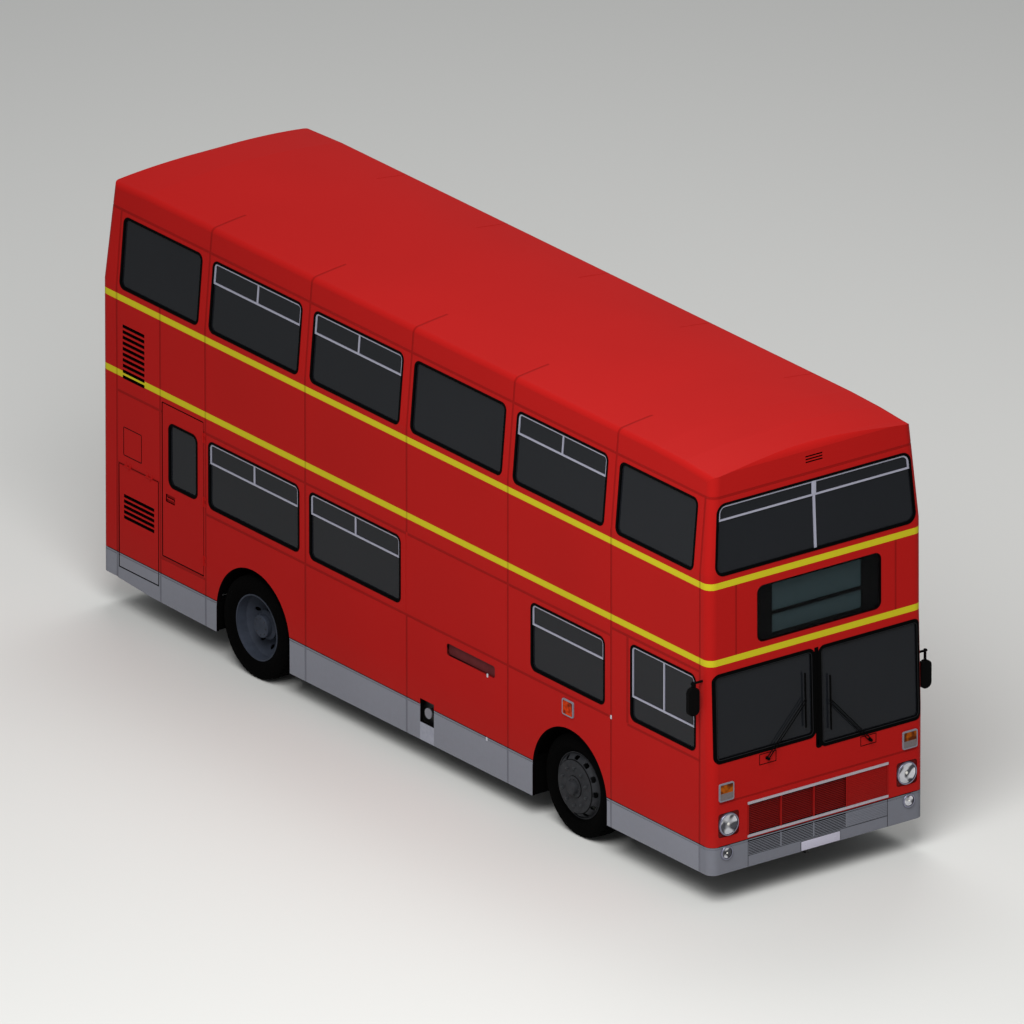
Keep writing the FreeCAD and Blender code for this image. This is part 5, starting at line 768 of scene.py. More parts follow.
# ---- Mirrors and wipers ----
# Black moulded mirror heads on bent arms, with a silvered glass set in each; wipers in satin
# black paint.

black_moulding = plain_finish("black_grained_moulding", "040404", 0.8, "090909", 300.0, 0.5, bump=0.25,
                              level=0.05)
mirror_glass = plain_finish("silvered_mirror_glass", "c9ccd0", 0.04, "b9bcc1", 6.0, metal=1.0)
dress("mirrors", black_moulding)
dress("wipers", plain_finish("satin_black_wiper_paint", "020202", 0.7, "050505", 60.0, level=0.04))
# Y of the head's middle, its height
MIRROR_HEADS = ((-1.358, 2.075), (1.358, 1.690))
MIRROR_BACK_X = BODY_FRONT - 0.137 - 0.0225
plates("mirror_glasses", mirror_glass, "rear",
       [(MIRROR_BACK_X, y, z, 0.104, 0.260, 0.046, 0.003, 0.0015) for y, z in MIRROR_HEADS])

# ---- Body trim ----
# Small fittings of the body: black rubber seals, which also stand in for the gaps' shade, cover strips,
# a paler patch under the filler, plated catches, and rubber mudflaps hung behind the wheels from the arches.

# Black seals line three sides of the engine's side door and of the emergency door, outside the
# gap; a thinner bead of sealant runs round the small hatch and the two wiper spindle plates.
# the seals and beads are partly painted shade: they widen the dark lines of the gaps
SEAL_BAND, SEAL_RISE, SEALANT_RISE = 0.007, 0.0012, 0.0008
# X, Z of the middle, length along X, height of each strip: engine door, then emergency door
SEALS = ((-4.4915, 0.9875, SEAL_BAND, 1.045), (-3.8625, 0.9875, SEAL_BAND, 1.045),
         (-4.177, 0.4615, 0.636, SEAL_BAND), (-3.8015, 1.5745, SEAL_BAND, 1.564),
         (-3.4725, 0.7925, 0.651, SEAL_BAND), (-3.4725, 2.3565, 0.651, SEAL_BAND))
HATCH_MIDDLE, HATCH_SIZE = (-4.2725, 1.7645), (0.291, 0.293)
# Y, Z of the middle, width, height
SPINDLE_PLATES = ((-0.5865, 1.3675, 0.199, 0.111), (0.591, 1.2595, 0.186, 0.099))
bm = bmesh.new()
for x, z, wide, high in SEALS:
    stick(bm, "offside", (x, -BODY_HALF_WIDTH, z), wide, high, 0.001, SEAL_RISE)
put(bm, rounded_ring(bm, *HATCH_SIZE, 0.014, 0.006, SEALANT_RISE), FACING["offside"],
    (HATCH_MIDDLE[0], -BODY_HALF_WIDTH, HATCH_MIDDLE[1]))
for y, z, wide, high in SPINDLE_PLATES:
    put(bm, rounded_ring(bm, wide, high, 0.004, 0.007, SEALANT_RISE), FACING["front"], (BODY_FRONT, y, z))
finish_piece("seals", bm, [glazing_rubber], "bus_body")

# A black bead covers the joint between the red panels and the grey skirts; it also stands in for the shadow
# line under the red panels.
BEAD_HIGH, BEAD_RISE = 0.007, 0.001
# side, body, rear and front end of each run
BEAD_RUNS = (("offside", "bus_body", 3.160, 4.670), ("offside", "bus_body", 0.480, 2.010),
             ("offside", "bus_body", -1.795, 0.248), ("offside", "bus_body", -3.856, -2.945),
             ("offside", "bus_body", -4.670, -4.498), ("offside", "engine_side_door", -4.476, -3.878),
             ("nearside", "bus_body", -1.795, 0.560), ("nearside", "bus_body", -4.670, -2.945))
runs_of_body = {}
for side, body, rear, front in BEAD_RUNS:
    bm = runs_of_body.setdefault(body, bmesh.new())
    way = -1 if side == "offside" else 1
    stick(bm, side, ((rear + front) / 2, way * BODY_HALF_WIDTH, SKIRT_TOP), front - rear, BEAD_HIGH, 0.001,
          BEAD_RISE)
stick(runs_of_body["bus_body"], "front", (BODY_FRONT, 0.0, SKIRT_TOP),
      2 * (BODY_HALF_WIDTH - BODY_CORNER), BEAD_HIGH, 0.001, BEAD_RISE)
DOOR_BODIES = {"bus_body": "bus_body", "engine_side_door": "side_engine_door"}
for body, bm in runs_of_body.items():
    finish_piece("skirt_bead_" + body, bm, [glazing_rubber], DOOR_BODIES[body])

# Cover strips beside and below the cab's window: X, Z of the middle, length along X, height.
COVER_STRIPS = ((4.034, 1.443, 1.115, 0.024), (3.477, 1.890, 0.034, 0.860))
COVER_RISE = 0.0008
plates("cab_cover_strips", joint_enamel, "offside",
       [(x, -BODY_HALF_WIDTH, z, wide, high, 0.002, COVER_RISE) for x, z, wide, high in COVER_STRIPS])

# The upper front window's pillar is doubled in width above its opening lights' foot.
plates("pillar_head_plate", anodised, "front",
       [(4.686, 0.0, 3.913, 0.050, 0.130, 0.004, 0.0075, 0.001)])

# The skirt is paler in a patch under the fuel filler.
paler_grey = plain_finish("paler_grey_enamel", "9496a1", 0.5, "868893", 25.0, 0.6, level=0.1)
plates("paler_patch", paler_grey, "offside",
       [(0.364, -BODY_HALF_WIDTH, 0.335, 0.216, 0.176, 0.003, COVER_RISE)])

# Plated quarter-turn catches with a slotted head: X, Z.
CATCHES = ((1.310, 1.231), (1.299, 0.585), (3.227, 1.4365))
catch_metal = plain_finish("plated_catch", "c4c4cc", 0.35, "a4a4ad", 150.0, metal=0.4)
CATCH_PLATES = ((0.022, 0.040, 0.010, 0.005, 0.002), (0.004, 0.024, 0.001, 0.0062))
plates("panel_catches", catch_metal, "offside",
       [(x, -BODY_HALF_WIDTH, z, *plate) for x, z in CATCHES for plate in CATCH_PLATES])

# Mudflaps, with a clamping bar along the top: the axle's X, inner Y, foot.
FLAPS = ((2.585, 0.86, 0.245), (-2.370, 0.66, 0.300))
FLAP_BEHIND, FLAP_OUTER, FLAP_TOP, FLAP_THICK = 0.588, 1.214, 0.640, 0.006
CLAMP_HIGH, CLAMP_THICK = 0.030, 0.004
bm = bmesh.new()
for axle, inner, foot in FLAPS:
    for side in (-1, 1):
        x, middle, wide = axle - FLAP_BEHIND, side * (inner + FLAP_OUTER) / 2, FLAP_OUTER - inner
        stick(bm, "front", (x, middle, (foot + FLAP_TOP) / 2), wide, FLAP_TOP - foot, 0.004, FLAP_THICK)
        stick(bm, "front", (x + FLAP_THICK, middle, FLAP_TOP - CLAMP_HIGH), wide, CLAMP_HIGH, 0.003,
              CLAMP_THICK)
finish_piece("mudflaps", bm, [glazing_rubber], "bus_body")

# ---- Tyres ----
# Radial bus tyres: five ribs with four grooves round the tread, notched shoulders, plain
# moulded sidewalls with raised rings. Matt black rubber, greyer in random patches.

tyre_rubber, tree = start_material("matt_tyre_rubber")
place = pattern_place(tree)
mottle = speckle(tree, place, 30.0, 5.0, 0.7)
dusty = span(tree, mottle, 0.45, 0.75, 0.0, 0.35)
surface(tree, {"Base Color": blend_colour(tree, dusty, linear("030303"), linear("0a0909")), "Roughness": 1.0,
               "Specular IOR Level": 0.03, "Normal": bumps(tree, mottle, 0.2, 0.0006)})
AXLE_HEIGHT = 0.510
FRONT_AXLE_X, REAR_AXLE_X = BODY_FRONT - 2.180, BODY_FRONT - 7.135
TYRE_OUTER, TYRE_HALF = 0.5098, 0.140
# depth of the grooves; then depth of the shoulders' notches, how far below the tread and over
# which share of the half-width they reach
GROOVE = 0.013
NOTCH, NOTCH_REACH, NOTCH_INNER, NOTCH_OUTER = 0.010, 0.012, 0.5, 0.82
TYRE_STEPS = 216
NOTCH_EVERY = 4
# half of the section from the tread's middle to the bead: share of the half-width, distance
# below the tread
TYRE_SECTION = ((0.0, 0.0), (0.13, 0.0), (0.15, GROOVE), (0.21, GROOVE), (0.23, 0.0), (0.43, 0.001),
                (0.45, GROOVE), (0.51, GROOVE), (0.53, 0.002), (0.72, 0.004), (0.80, 0.010), (0.86, 0.022),
                (0.93, 0.048), (0.955, 0.052), (0.97, 0.068), (0.995, 0.086), (0.995, 0.098), (0.97, 0.118),
                (0.90, 0.144), (0.82, 0.158), (0.80, 0.164), (0.74, 0.176), (0.68, 0.1835))


def tyre_mesh(bm, x, y):
    """One tyre, its section spun about the axle, with notches pressed into both shoulders."""
    half = [(share * TYRE_HALF, TYRE_OUTER - drop) for share, drop in TYRE_SECTION]
    whole = [(-a, r) for a, r in reversed(half[1:])] + half
    points = [bm.verts.new((x, y + a, AXLE_HEIGHT + r)) for a, r in whole]
    edges = [bm.edges.new(pair) for pair in zip(points, points[1:] + points[:1])]
    before = set(bm.verts) - set(points)
    bmesh.ops.spin(bm, geom=points + edges, cent=(x, y, AXLE_HEIGHT), axis=(0, 1, 0), angle=2 * math.pi,
                   steps=TYRE_STEPS, use_merge=True)
    for v in bm.verts:
        if v in before:
            continue
        away = Vector((v.co.x - x, v.co.z - AXLE_HEIGHT))
        share = abs(v.co.y - y) / TYRE_HALF
        if away.length > TYRE_OUTER - NOTCH_REACH and NOTCH_INNER < share < NOTCH_OUTER:
            step = round(math.atan2(away.x, away.y) / (2 * math.pi) * TYRE_STEPS)
            if step % NOTCH_EVERY == 0:
                away *= (away.length - NOTCH) / away.length
                v.co.x, v.co.z = x + away.x, AXLE_HEIGHT + away.y


# node, body, X, Y of each tyre
TYRES = (("front_left_tyre", "left_front_wheel", FRONT_AXLE_X, (1.035,)),
         ("front_right_tyre", "right_front_wheel", FRONT_AXLE_X, (-1.035,)),
         ("rear_left_tyres", "left_rear_wheels", REAR_AXLE_X, (1.105, 0.775)),
         ("rear_right_tyres", "right_rear_wheels", REAR_AXLE_X, (-1.105, -0.775)))
for node, body, x, places in TYRES:
    bm = bmesh.new()
    for y in places:
        tyre_mesh(bm, x, y)
    piece = finish_piece(node + "_treaded", bm, [tyre_rubber], body)
    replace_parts(piece, node)

# ---- Wheels ----
# Pressed steel wheels in dark grey enamel, blue-grey at the rear, dulled by brake dust; ten nuts
# hold each one to its hub, and a small ring of bolts closes the hub. The front discs are dished
# outwards, with a ring of hand holes punched through the shoulder.

wheel_enamel = plain_finish("dark_grey_wheel_enamel", "2c2d30", 0.6, "202124", 16.0, 0.7, bump=0.1, level=0.1)
bare_steel = plain_finish("dulled_steel_nut", "393b3e", 0.5, "242527", 90.0, metal=0.3, level=0.2)
rear_enamel = plain_finish("blue_grey_wheel_enamel", "363b46", 0.6, "282c34", 5.0, 0.7, bump=0.1, level=0.1)
for node, coat in (("front_left_wheel", wheel_enamel), ("front_right_wheel", wheel_enamel),
                   ("rear_left_wheels", rear_enamel), ("rear_right_wheels", rear_enamel)):
    dress(node, coat)
WHEEL_STEPS = 240
FRONT_TYRE_Y = 1.035
# radius and outward distance from the tyre's middle: hub cap and disc, shoulder, rim and its lip,
# then the inside of the disc and the hub's bore
FRONT_FACE = ((0.0, 0.210), (0.060, 0.210), (0.065, 0.207), (0.068, 0.200), (0.068, 0.168), (0.098, 0.168),
              (0.104, 0.166), (0.110, 0.158), (0.150, 0.158), (0.250, 0.158), (0.258, 0.156), (0.266, 0.148))
SHOULDER = ((0.274, 0.145), (0.283, 0.138), (0.291, 0.129), (0.298, 0.118), (0.303, 0.107))
RIM_LIP = ((0.307, 0.096), (0.310, 0.090), (0.314, 0.092), (0.317, 0.100), (0.320, 0.104), (0.3255, 0.104),
           (0.3255, -0.1036), (0.312, -0.1036), (0.312, 0.070), (0.306, 0.076), (0.3045, 0.086))
HUB_BACK = ((0.250, 0.146), (0.108, 0.146), (0.108, 0.004), (0.175, 0.0), (0.175, -0.091), (0.0455, -0.091),
            (0.0455, 0.180), (0.0, 0.180))
SHEET = 0.012
HAND_HOLES = 12
# a hand hole's half width, in steps of the turn, along each row of the shoulder from the inside out
HOLE_ROWS = ((0.270, 3), (0.2785, 4), (0.287, 4), (0.2945, 4), (0.3005, 3))
ROW_NEAR = 0.003


def front_wheel_mesh(side):
    """A front wheel: its section spun about the axle, with the hand holes cut through and edged."""
    bm = bmesh.new()
    back = [(r, a - SHEET) for r, a in reversed(SHOULDER)] + [(0.266, 0.148 - SHEET)]
    section = list(FRONT_FACE + SHOULDER + RIM_LIP) + back + list(HUB_BACK)
    points = [bm.verts.new((FRONT_AXLE_X, side * (FRONT_TYRE_Y + a), AXLE_HEIGHT + r)) for r, a in section]
    edges = [bm.edges.new(pair) for pair in zip(points, points[1:])]
    bmesh.ops.spin(bm, geom=points + edges, cent=(FRONT_AXLE_X, 0, AXLE_HEIGHT), axis=(0, 1, 0),
                   angle=2 * math.pi, steps=WHEEL_STEPS, use_merge=True)
    bmesh.ops.remove_doubles(bm, verts=bm.verts[:], dist=1e-6)

    def hole_of(point):
        turn = math.atan2(point.x - FRONT_AXLE_X, point.z - AXLE_HEIGHT) / (2 * math.pi) % 1.0
        nearest = round(turn * HAND_HOLES)
        return nearest % HAND_HOLES, abs(turn * HAND_HOLES - nearest) * WHEEL_STEPS / HAND_HOLES

    cut = []
    for face in bm.faces:
        centre = face.calc_center_median()
        radius = math.hypot(centre.x - FRONT_AXLE_X, centre.z - AXLE_HEIGHT)
        for row, half in HOLE_ROWS:
            if abs(radius - row) < ROW_NEAR and hole_of(centre)[1] < half:
                cut.append(face)
    bmesh.ops.delete(bm, geom=cut, context="FACES")
    rims = {}
    for edge in bm.edges:
        middle = (edge.verts[0].co + edge.verts[1].co) / 2
        if edge.is_boundary:
            rims.setdefault(hole_of(middle)[0], []).append(edge)
    for rim in rims.values():
        bmesh.ops.bridge_loops(bm, edges=rim)
    return bm


# painted shade: the disc's two grooves are near-black
wheel_groove_shade = plain_finish("painted_shade_in_wheel_grooves", "0e0e0f", 0.9, "141312", 40.0, level=0.02)
# inner and outer radius of the two grooves on the disc's face, painted near-black as their shade, and how far
# out from the tyre's middle that face begins
GROOVES = ((0.104, 0.110), (0.258, 0.266))
DISC_FACE = 0.147
for side, body in ((1, "left_front_wheel"), (-1, "right_front_wheel")):
    bm = front_wheel_mesh(side)
    for face in bm.faces:
        centre = face.calc_center_median()
        radius = math.hypot(centre.x - FRONT_AXLE_X, centre.z - AXLE_HEIGHT)
        outside = side * centre.y > FRONT_TYRE_Y + DISC_FACE
        if outside and any(inner < radius < outer for inner, outer in GROOVES):
            face.material_index = 1
    piece = finish_piece(body + "_disc", bm, [wheel_enamel, wheel_groove_shade], body)
    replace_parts(piece, "front_left_wheel" if side > 0 else "front_right_wheel")

WHEEL_NUTS, HUB_BOLTS = 10, 8
# body, side, X; then Y of the disc's face, circle and size of its nuts; then Y of the hub's end
# and the circle of its bolts
NUT_ROWS = (("left_front_wheel", 1, FRONT_AXLE_X, 1.193, 0.188, 0.016, 1.203, 0.083),
            ("right_front_wheel", -1, FRONT_AXLE_X, 1.193, 0.188, 0.016, 1.203, 0.083),
            ("left_rear_wheels", 1, REAR_AXLE_X, 0.952, 0.156, 0.011, 1.162, 0.084),
            ("right_rear_wheels", -1, REAR_AXLE_X, 0.952, 0.156, 0.011, 1.162, 0.084))


def bolt_ring(bm, side, x, y, circle, count, width, height):
    """Hexagon heads in a ring round the axle, each with the end of its stud."""
    way = FACING["nearside" if side > 0 else "offside"].to_4x4()
    for turn in range(count):
        angle = 2 * math.pi * turn / count
        across, up = circle * math.sin(angle), circle * math.cos(angle)
        seat = Matrix.Translation((x + across, side * y, AXLE_HEIGHT + up)) @ way
        drum(bm, 6, width, width * 0.92, height, seat @ Matrix.Translation((0, 0, height / 2)))
        drum(bm, 10, width * 0.5, width * 0.42, height * 0.5, seat @ Matrix.Translation((0, 0, height * 1.2)))


for body, side, x, disc_y, nut_circle, nut, hub_y, bolt_circle in NUT_ROWS:
    bm = bmesh.new()
    bolt_ring(bm, side, x, disc_y, nut_circle, WHEEL_NUTS, nut, nut)
    bolt_ring(bm, side, x, hub_y, bolt_circle, HUB_BOLTS, 0.007, 0.005)
    finish_piece(body + "_nuts", bm, [bare_steel], body)

# ---- Chassis, axles and tank ----
# Welded chassis rails in black chassis paint, forged and cast axle parts with an oily skin,
# and a painted steel tank with a bright cap; all with dried road spray.

chassis_paint = plain_finish("black_chassis_paint", "141416", 0.6, "2b2621", 9.0, 0.7, bump=0.25, depth=0.001)
cast_metal = plain_finish("oily_cast_metal", "26262a", 0.5, "3a3128", 14.0, 0.6, metal=0.4, bump=0.4,
                          depth=0.0012)
tank_paint = plain_finish("black_tank_enamel", "101012", 0.45, "1f1c19", 8.0, 0.5, bump=0.1)
cap_metal = plain_finish("turned_filler_cap", "7c7c84", 0.4, "6a6a72", 200.0, metal=0.3)
underseal = plain_finish("black_underseal", "040404", 0.95, "0a0908", 12.0, 0.5, bump=0.4, depth=0.001,
                         level=0.02)
dress("chassis_frame", chassis_paint)
dress("wheel_boxes", underseal)
for node in ("front_axle", "front_left_knuckle", "front_right_knuckle", "track_rod", "rear_axle",
             "suspension"):
    dress(node, cast_metal)
mesh = dress("fuel_tank", tank_paint, cap_metal)
# the filler cap stands further out than this
CAP_Y = -1.2255
for face in mesh.polygons:
    if max(mesh.vertices[i].co.y for i in face.vertices) < CAP_Y:
        face.material_index = 1

# ---- Engine ----
# The block in its place behind the bulkhead, with ribs and belt pulleys on its rear face and
# bolted plates on its offside, which show when the covers are open.

engine_paint = plain_finish("green_engine_enamel", "3c4a44", 0.45, "23241f", 11.0, 0.6, bump=0.2)
dress("engine", cast_metal)
ENGINE_LOW, ENGINE_HIGH = [Vector(c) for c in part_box("engine")]
engine_middle = (ENGINE_LOW + ENGINE_HIGH) / 2
bm = bmesh.new()
# raised ribs on the block's rear face, facing the cover
RIB_COUNT, RIB_PITCH, RIB_FIRST = 9, 0.08, -0.32
for rib in range(RIB_COUNT):
    stick(bm, "rear", (ENGINE_LOW.x, RIB_FIRST + rib * RIB_PITCH, 1.02), 0.020, 0.62, 0.006, 0.018, 0.004)
# belt pulleys low on the rear face: Y, Z, radius; then each flange, groove and boss of a pulley:
# share of its radius, start and depth
PULLEYS = ((-0.20, 0.60, 0.085), (0.08, 0.58, 0.060), (0.26, 0.66, 0.050))
PULLEY_STEPS = ((1.0, 0.0, 0.012), (0.86, 0.012, 0.012), (1.0, 0.024, 0.010), (0.35, 0.034, 0.014))
for y, z, radius in PULLEYS:
    for share, start, deep in PULLEY_STEPS:
        middle = Matrix.Translation((ENGINE_LOW.x - start - deep / 2, y, z))
        drum(bm, 36, radius * share, radius * share, deep, middle @ Matrix.Rotation(math.pi / 2, 4, "Y"))
# side plates with bolt heads, facing the offside door
for z in (0.70, 1.02, 1.26):
    stick(bm, "offside", (engine_middle.x, ENGINE_LOW.y, z), 0.46, 0.20, 0.03, 0.014, 0.005)
    for dx in (-0.20, 0.0, 0.20):
        for dz in (-0.08, 0.08):
            middle = Matrix.Translation((engine_middle.x + dx, ENGINE_LOW.y - 0.019, z + dz))
            drum(bm, 6, 0.010, 0.009, 0.010, middle @ Matrix.Rotation(math.pi / 2, 4, "X"))
finish_piece("engine_castings", bm, [engine_paint], "bus_body")

# ---- Floors and stairs ----
# Ribbed dark grey safety flooring on plywood, with ribs along the bus.

safety_floor, tree = start_material("ribbed_safety_flooring")
place = pattern_place(tree)
# ribs are 10 mm apart, drawn at 20 mm so that they show
ribs = waves(tree, along(tree, place, "Y"), 0.020)
grit = speckle(tree, place, 400.0)
colour = blend_colour(tree, span(tree, grit, 0.4, 0.7), linear("3a3b3e"), linear("595a5e"))
surface(tree, {"Base Color": colour, "Roughness": 0.75, "Normal": bumps(tree, ribs, 0.3, 0.0012)})
nosing_yellow = plain_finish("yellow_step_nosing", "c7ab2c", 0.6, "a08a2a", 60.0)
# the floor's front edge shows through the destination glass, so it is blacked out
FLOOR_EDGE_X = 4.6
recoat(dress("upper_floor", safety_floor, mask_paint), 1,
       lambda face: face.normal.x > FACES_AXIS and face.center.x > FLOOR_EDGE_X)
# the edges of the entrance's steps and of the stairs' treads carry a yellow nosing; the steps
# lie nearer the door and the front than these, and no higher
STEPS_INNER, STEPS_REAR, STEPS_TOP = 0.4, 3.2, 0.71
recoat(dress("lower_floor", safety_floor, nosing_yellow), 1,
       lambda face: face.normal.y > FACES_AXIS and face.center.y > STEPS_INNER
       and face.center.x > STEPS_REAR and face.center.z < STEPS_TOP)
recoat(dress("staircase", safety_floor, nosing_yellow), 1, lambda face: face.normal.x > FACES_AXIS)

# ---- Passenger seats ----
# Double seats of sprung foam under woven moquette, each place with its own crowned squab and
# back, sewn across in channels. Steel-tube frames stand on the floor, with a grab rail on top.

moquette, tree = start_material("woven_moquette")
place = pattern_place(tree)
# the pile's pattern repeats every 60 mm: soft blocks of two blues with a rust fleck
blocks = add(tree, "TexVoronoi", {"feature": "F1"}, {"Vector": place, "Scale": 16.0}).outputs["Distance"]
pile = speckle(tree, place, 500.0, 2.0)
colour = blend_colour(tree, span(tree, blocks, 0.2, 0.5), linear("27345e"), linear("18213f"))
colour = blend_colour(tree, span(tree, pile, 0.6, 0.72, 0.0, 0.5), colour, linear("8a4a2a"))
surface(tree, {"Base Color": colour, "Roughness": 0.95, "Sheen Weight": 0.35, "Sheen Roughness": 0.5,
               "Specular IOR Level": 0.1, "Normal": bumps(tree, pile, 0.5, 0.0015)})
rail_steel = plain_finish("grey_seat_tube", "6f7278", 0.4, "595b60", 60.0, metal=0.3)
seat_shell = plain_finish("grey_seat_back_moulding", "3c3e44", 0.5, "4b4d53", 200.0, bump=0.2)

SEAT_PLACE_WIDE = 0.415
SQUAB_LONG, SQUAB_THICK = 0.43, 0.085
BACK_HIGH, BACK_THICK = 0.50, 0.055
PAD_VOXEL = 0.016
# the most that a pad may swell, its sewn channels' number, half width and depth
PAD_SWELL_CAP = 0.016
CHANNELS, CHANNEL_HALF, CHANNEL_DEEP = 3, PAD_VOXEL * 0.7, 0.004
# frames and air pressure of the stuffing
PAD_FRAMES, PAD_PRESSURE = 20, 4.0


def padded_shape(wide, long, thick):
    """A cushion's mesh: a soft-edged slab, blown up as cloth with its channels held down."""
    def in_channel(v):
        seams = [long * (n / (CHANNELS + 1) - 0.5) for n in range(1, CHANNELS + 1)]
        return min(abs(v.co.y - seam) for seam in seams) < CHANNEL_HALF

    bm = bmesh.new()
    bmesh.ops.create_cube(bm, size=1.0)
    bmesh.ops.scale(bm, vec=(wide, long, thick), verts=bm.verts[:])
    soften(bm, bm.edges[:], thick * 0.3, 3, "EDGES")
    mesh = bpy.data.meshes.new("pad_former")
    bm.to_mesh(mesh)
    bm.free()
    former = new_object("pad_former", mesh)
    remesh = former.modifiers.new("voxels", "REMESH")
    remesh.mode = "VOXEL"
    remesh.voxel_size = PAD_VOXEL
    graph = bpy.context.evaluated_depsgraph_get()
    skin = bpy.data.meshes.new_from_object(former.evaluated_get(graph))
    former.modifiers.clear()
    former.data = skin
    rest = [v.co.copy() for v in skin.vertices]
    held = former.vertex_groups.new(name="held")
    for v in skin.vertices:
        held.add([v.index], 1.0 if v.co.z < 0 or in_channel(v) else 0.0, "REPLACE")
    cloth = former.modifiers.new("stuffing", "CLOTH")
    cloth.settings.use_pressure = True
    cloth.settings.uniform_pressure_force = PAD_PRESSURE
    cloth.settings.effector_weights.gravity = 0.0
    cloth.settings.vertex_group_mass = "held"
    cloth.settings.quality = 5
    cloth.point_cache.frame_start, cloth.point_cache.frame_end = 1, PAD_FRAMES
    for step in range(1, PAD_FRAMES + 1):
        bpy.context.scene.frame_set(step)
    graph = bpy.context.evaluated_depsgraph_get()
    skin = bpy.data.meshes.new_from_object(former.evaluated_get(graph))
    former.modifiers.clear()
    bpy.context.scene.frame_set(1)
    for v, start in zip(skin.vertices, rest):
        move = v.co - start
        if move.length > PAD_SWELL_CAP:
            v.co = start + move * (PAD_SWELL_CAP / move.length)
    # the held channels sink a little below the swollen panels
    for v in skin.vertices:
        if v.co.z > 0 and in_channel(v):
            v.co.z -= CHANNEL_DEEP
    bpy.data.objects.remove(former)
    return skin


squab_shape = padded_shape(SEAT_PLACE_WIDE, SQUAB_LONG, SQUAB_THICK)
back_shape = padded_shape(SEAT_PLACE_WIDE, BACK_HIGH, BACK_THICK)
SEAT_PITCH = 0.73
SEAT_SIDES = (0.300, 1.165)
BACK_TILT = math.radians(9)
LOWER_FLOOR, UPPER_FLOOR = 0.700, 2.560
# name, floor, first row's distance behind the front, rows, side
SEAT_ROWS = (("lower_nearside", LOWER_FLOOR, 3.600, 4, 1), ("lower_offside", LOWER_FLOOR, 5.250, 2, -1),
             ("upper_nearside", UPPER_FLOOR, 1.250, 11, 1),
             ("upper_offside_front", UPPER_FLOOR, 1.250, 3, -1),
             ("upper_offside_rear", UPPER_FLOOR, 5.800, 5, -1))
# squab's middle and back's middle, forward of the seat's station and above the floor
SQUAB_AT, BACK_AT = (0.190, 0.412), (-0.005, 0.690)
# a seat's own X lies across the bus, its Y along the squab or up the back
SQUAB_WAY = Matrix(((0, 1, 0), (-1, 0, 0), (0, 0, 1)))
BACK_WAY = Matrix.Rotation(-BACK_TILT, 3, "Y") @ Matrix(((0, 0, 1), (1, 0, 0), (0, 1, 0)))
# a seat's tube frame, from its station and its inner or outer edge: a leg's distance in, the front
# foot, the corner under the squab's front and its height; the grab rail's distance in and, from its
# foot to its top, how far behind the station and how high
LEG_IN, LEG_X, LEG_FRONT_X, LEG_CORNER_X, LEG_HIGH = 0.12, 0.02, 0.30, 0.37, 0.355
RAIL_IN, RAIL_FOOT, RAIL_HEAD = 0.02, (0.055, 0.62), (0.067, 0.93)
# the moulded shell behind a back: its sizes, how far behind the station and how high
SHELL, SHELL_BEHIND, SHELL_UP = (0.84, 0.56, 0.05, 0.010, 0.004), 0.034, 0.66


def seat_places(floor, first, rows, side):
    """Station, middle across and floor of every single place."""
    middle = (SEAT_SIDES[0] + SEAT_SIDES[1]) / 2
    for row in range(rows):
        for place_side in (-1, 1):
            y = side * (middle + place_side * (SEAT_SIDES[1] - SEAT_SIDES[0]) / 4)
            yield BODY_FRONT - first - row * SEAT_PITCH, y, floor


def cushions(name, shape, way, middle, places):
    """One padded piece of the same cushion at every place, turned this way about its own middle."""
    bm = bmesh.new()
    for x, y, floor in places:
        before = set(bm.verts)
        bm.from_mesh(shape)
        put(bm, added(bm.verts, before), way, (x + middle[0], y, floor + middle[1]))
    piece = finish_piece(name, bm, [moquette], "bus_body")
    return piece


def tubes(name, runs, radius, material, body):
    """Round tube of this radius along runs of straight lengths."""
    curve = bpy.data.curves.new(name, "CURVE")
    curve.dimensions = "3D"
    curve.bevel_depth = radius
    curve.bevel_resolution = 3
    curve.use_fill_caps = True
    for run in runs:
        spline = curve.splines.new("POLY")
        spline.points.add(len(run) - 1)
        for point, place in zip(spline.points, run):
            point.co = (*place, 1.0)
    former = new_object(name + "_path", curve)
    mesh = bpy.data.meshes.new_from_object(former.evaluated_get(bpy.context.evaluated_depsgraph_get()))
    bpy.data.objects.remove(former)
    bm = bmesh.new()
    bm.from_mesh(mesh)
    return finish_piece(name, bm, [material], body)


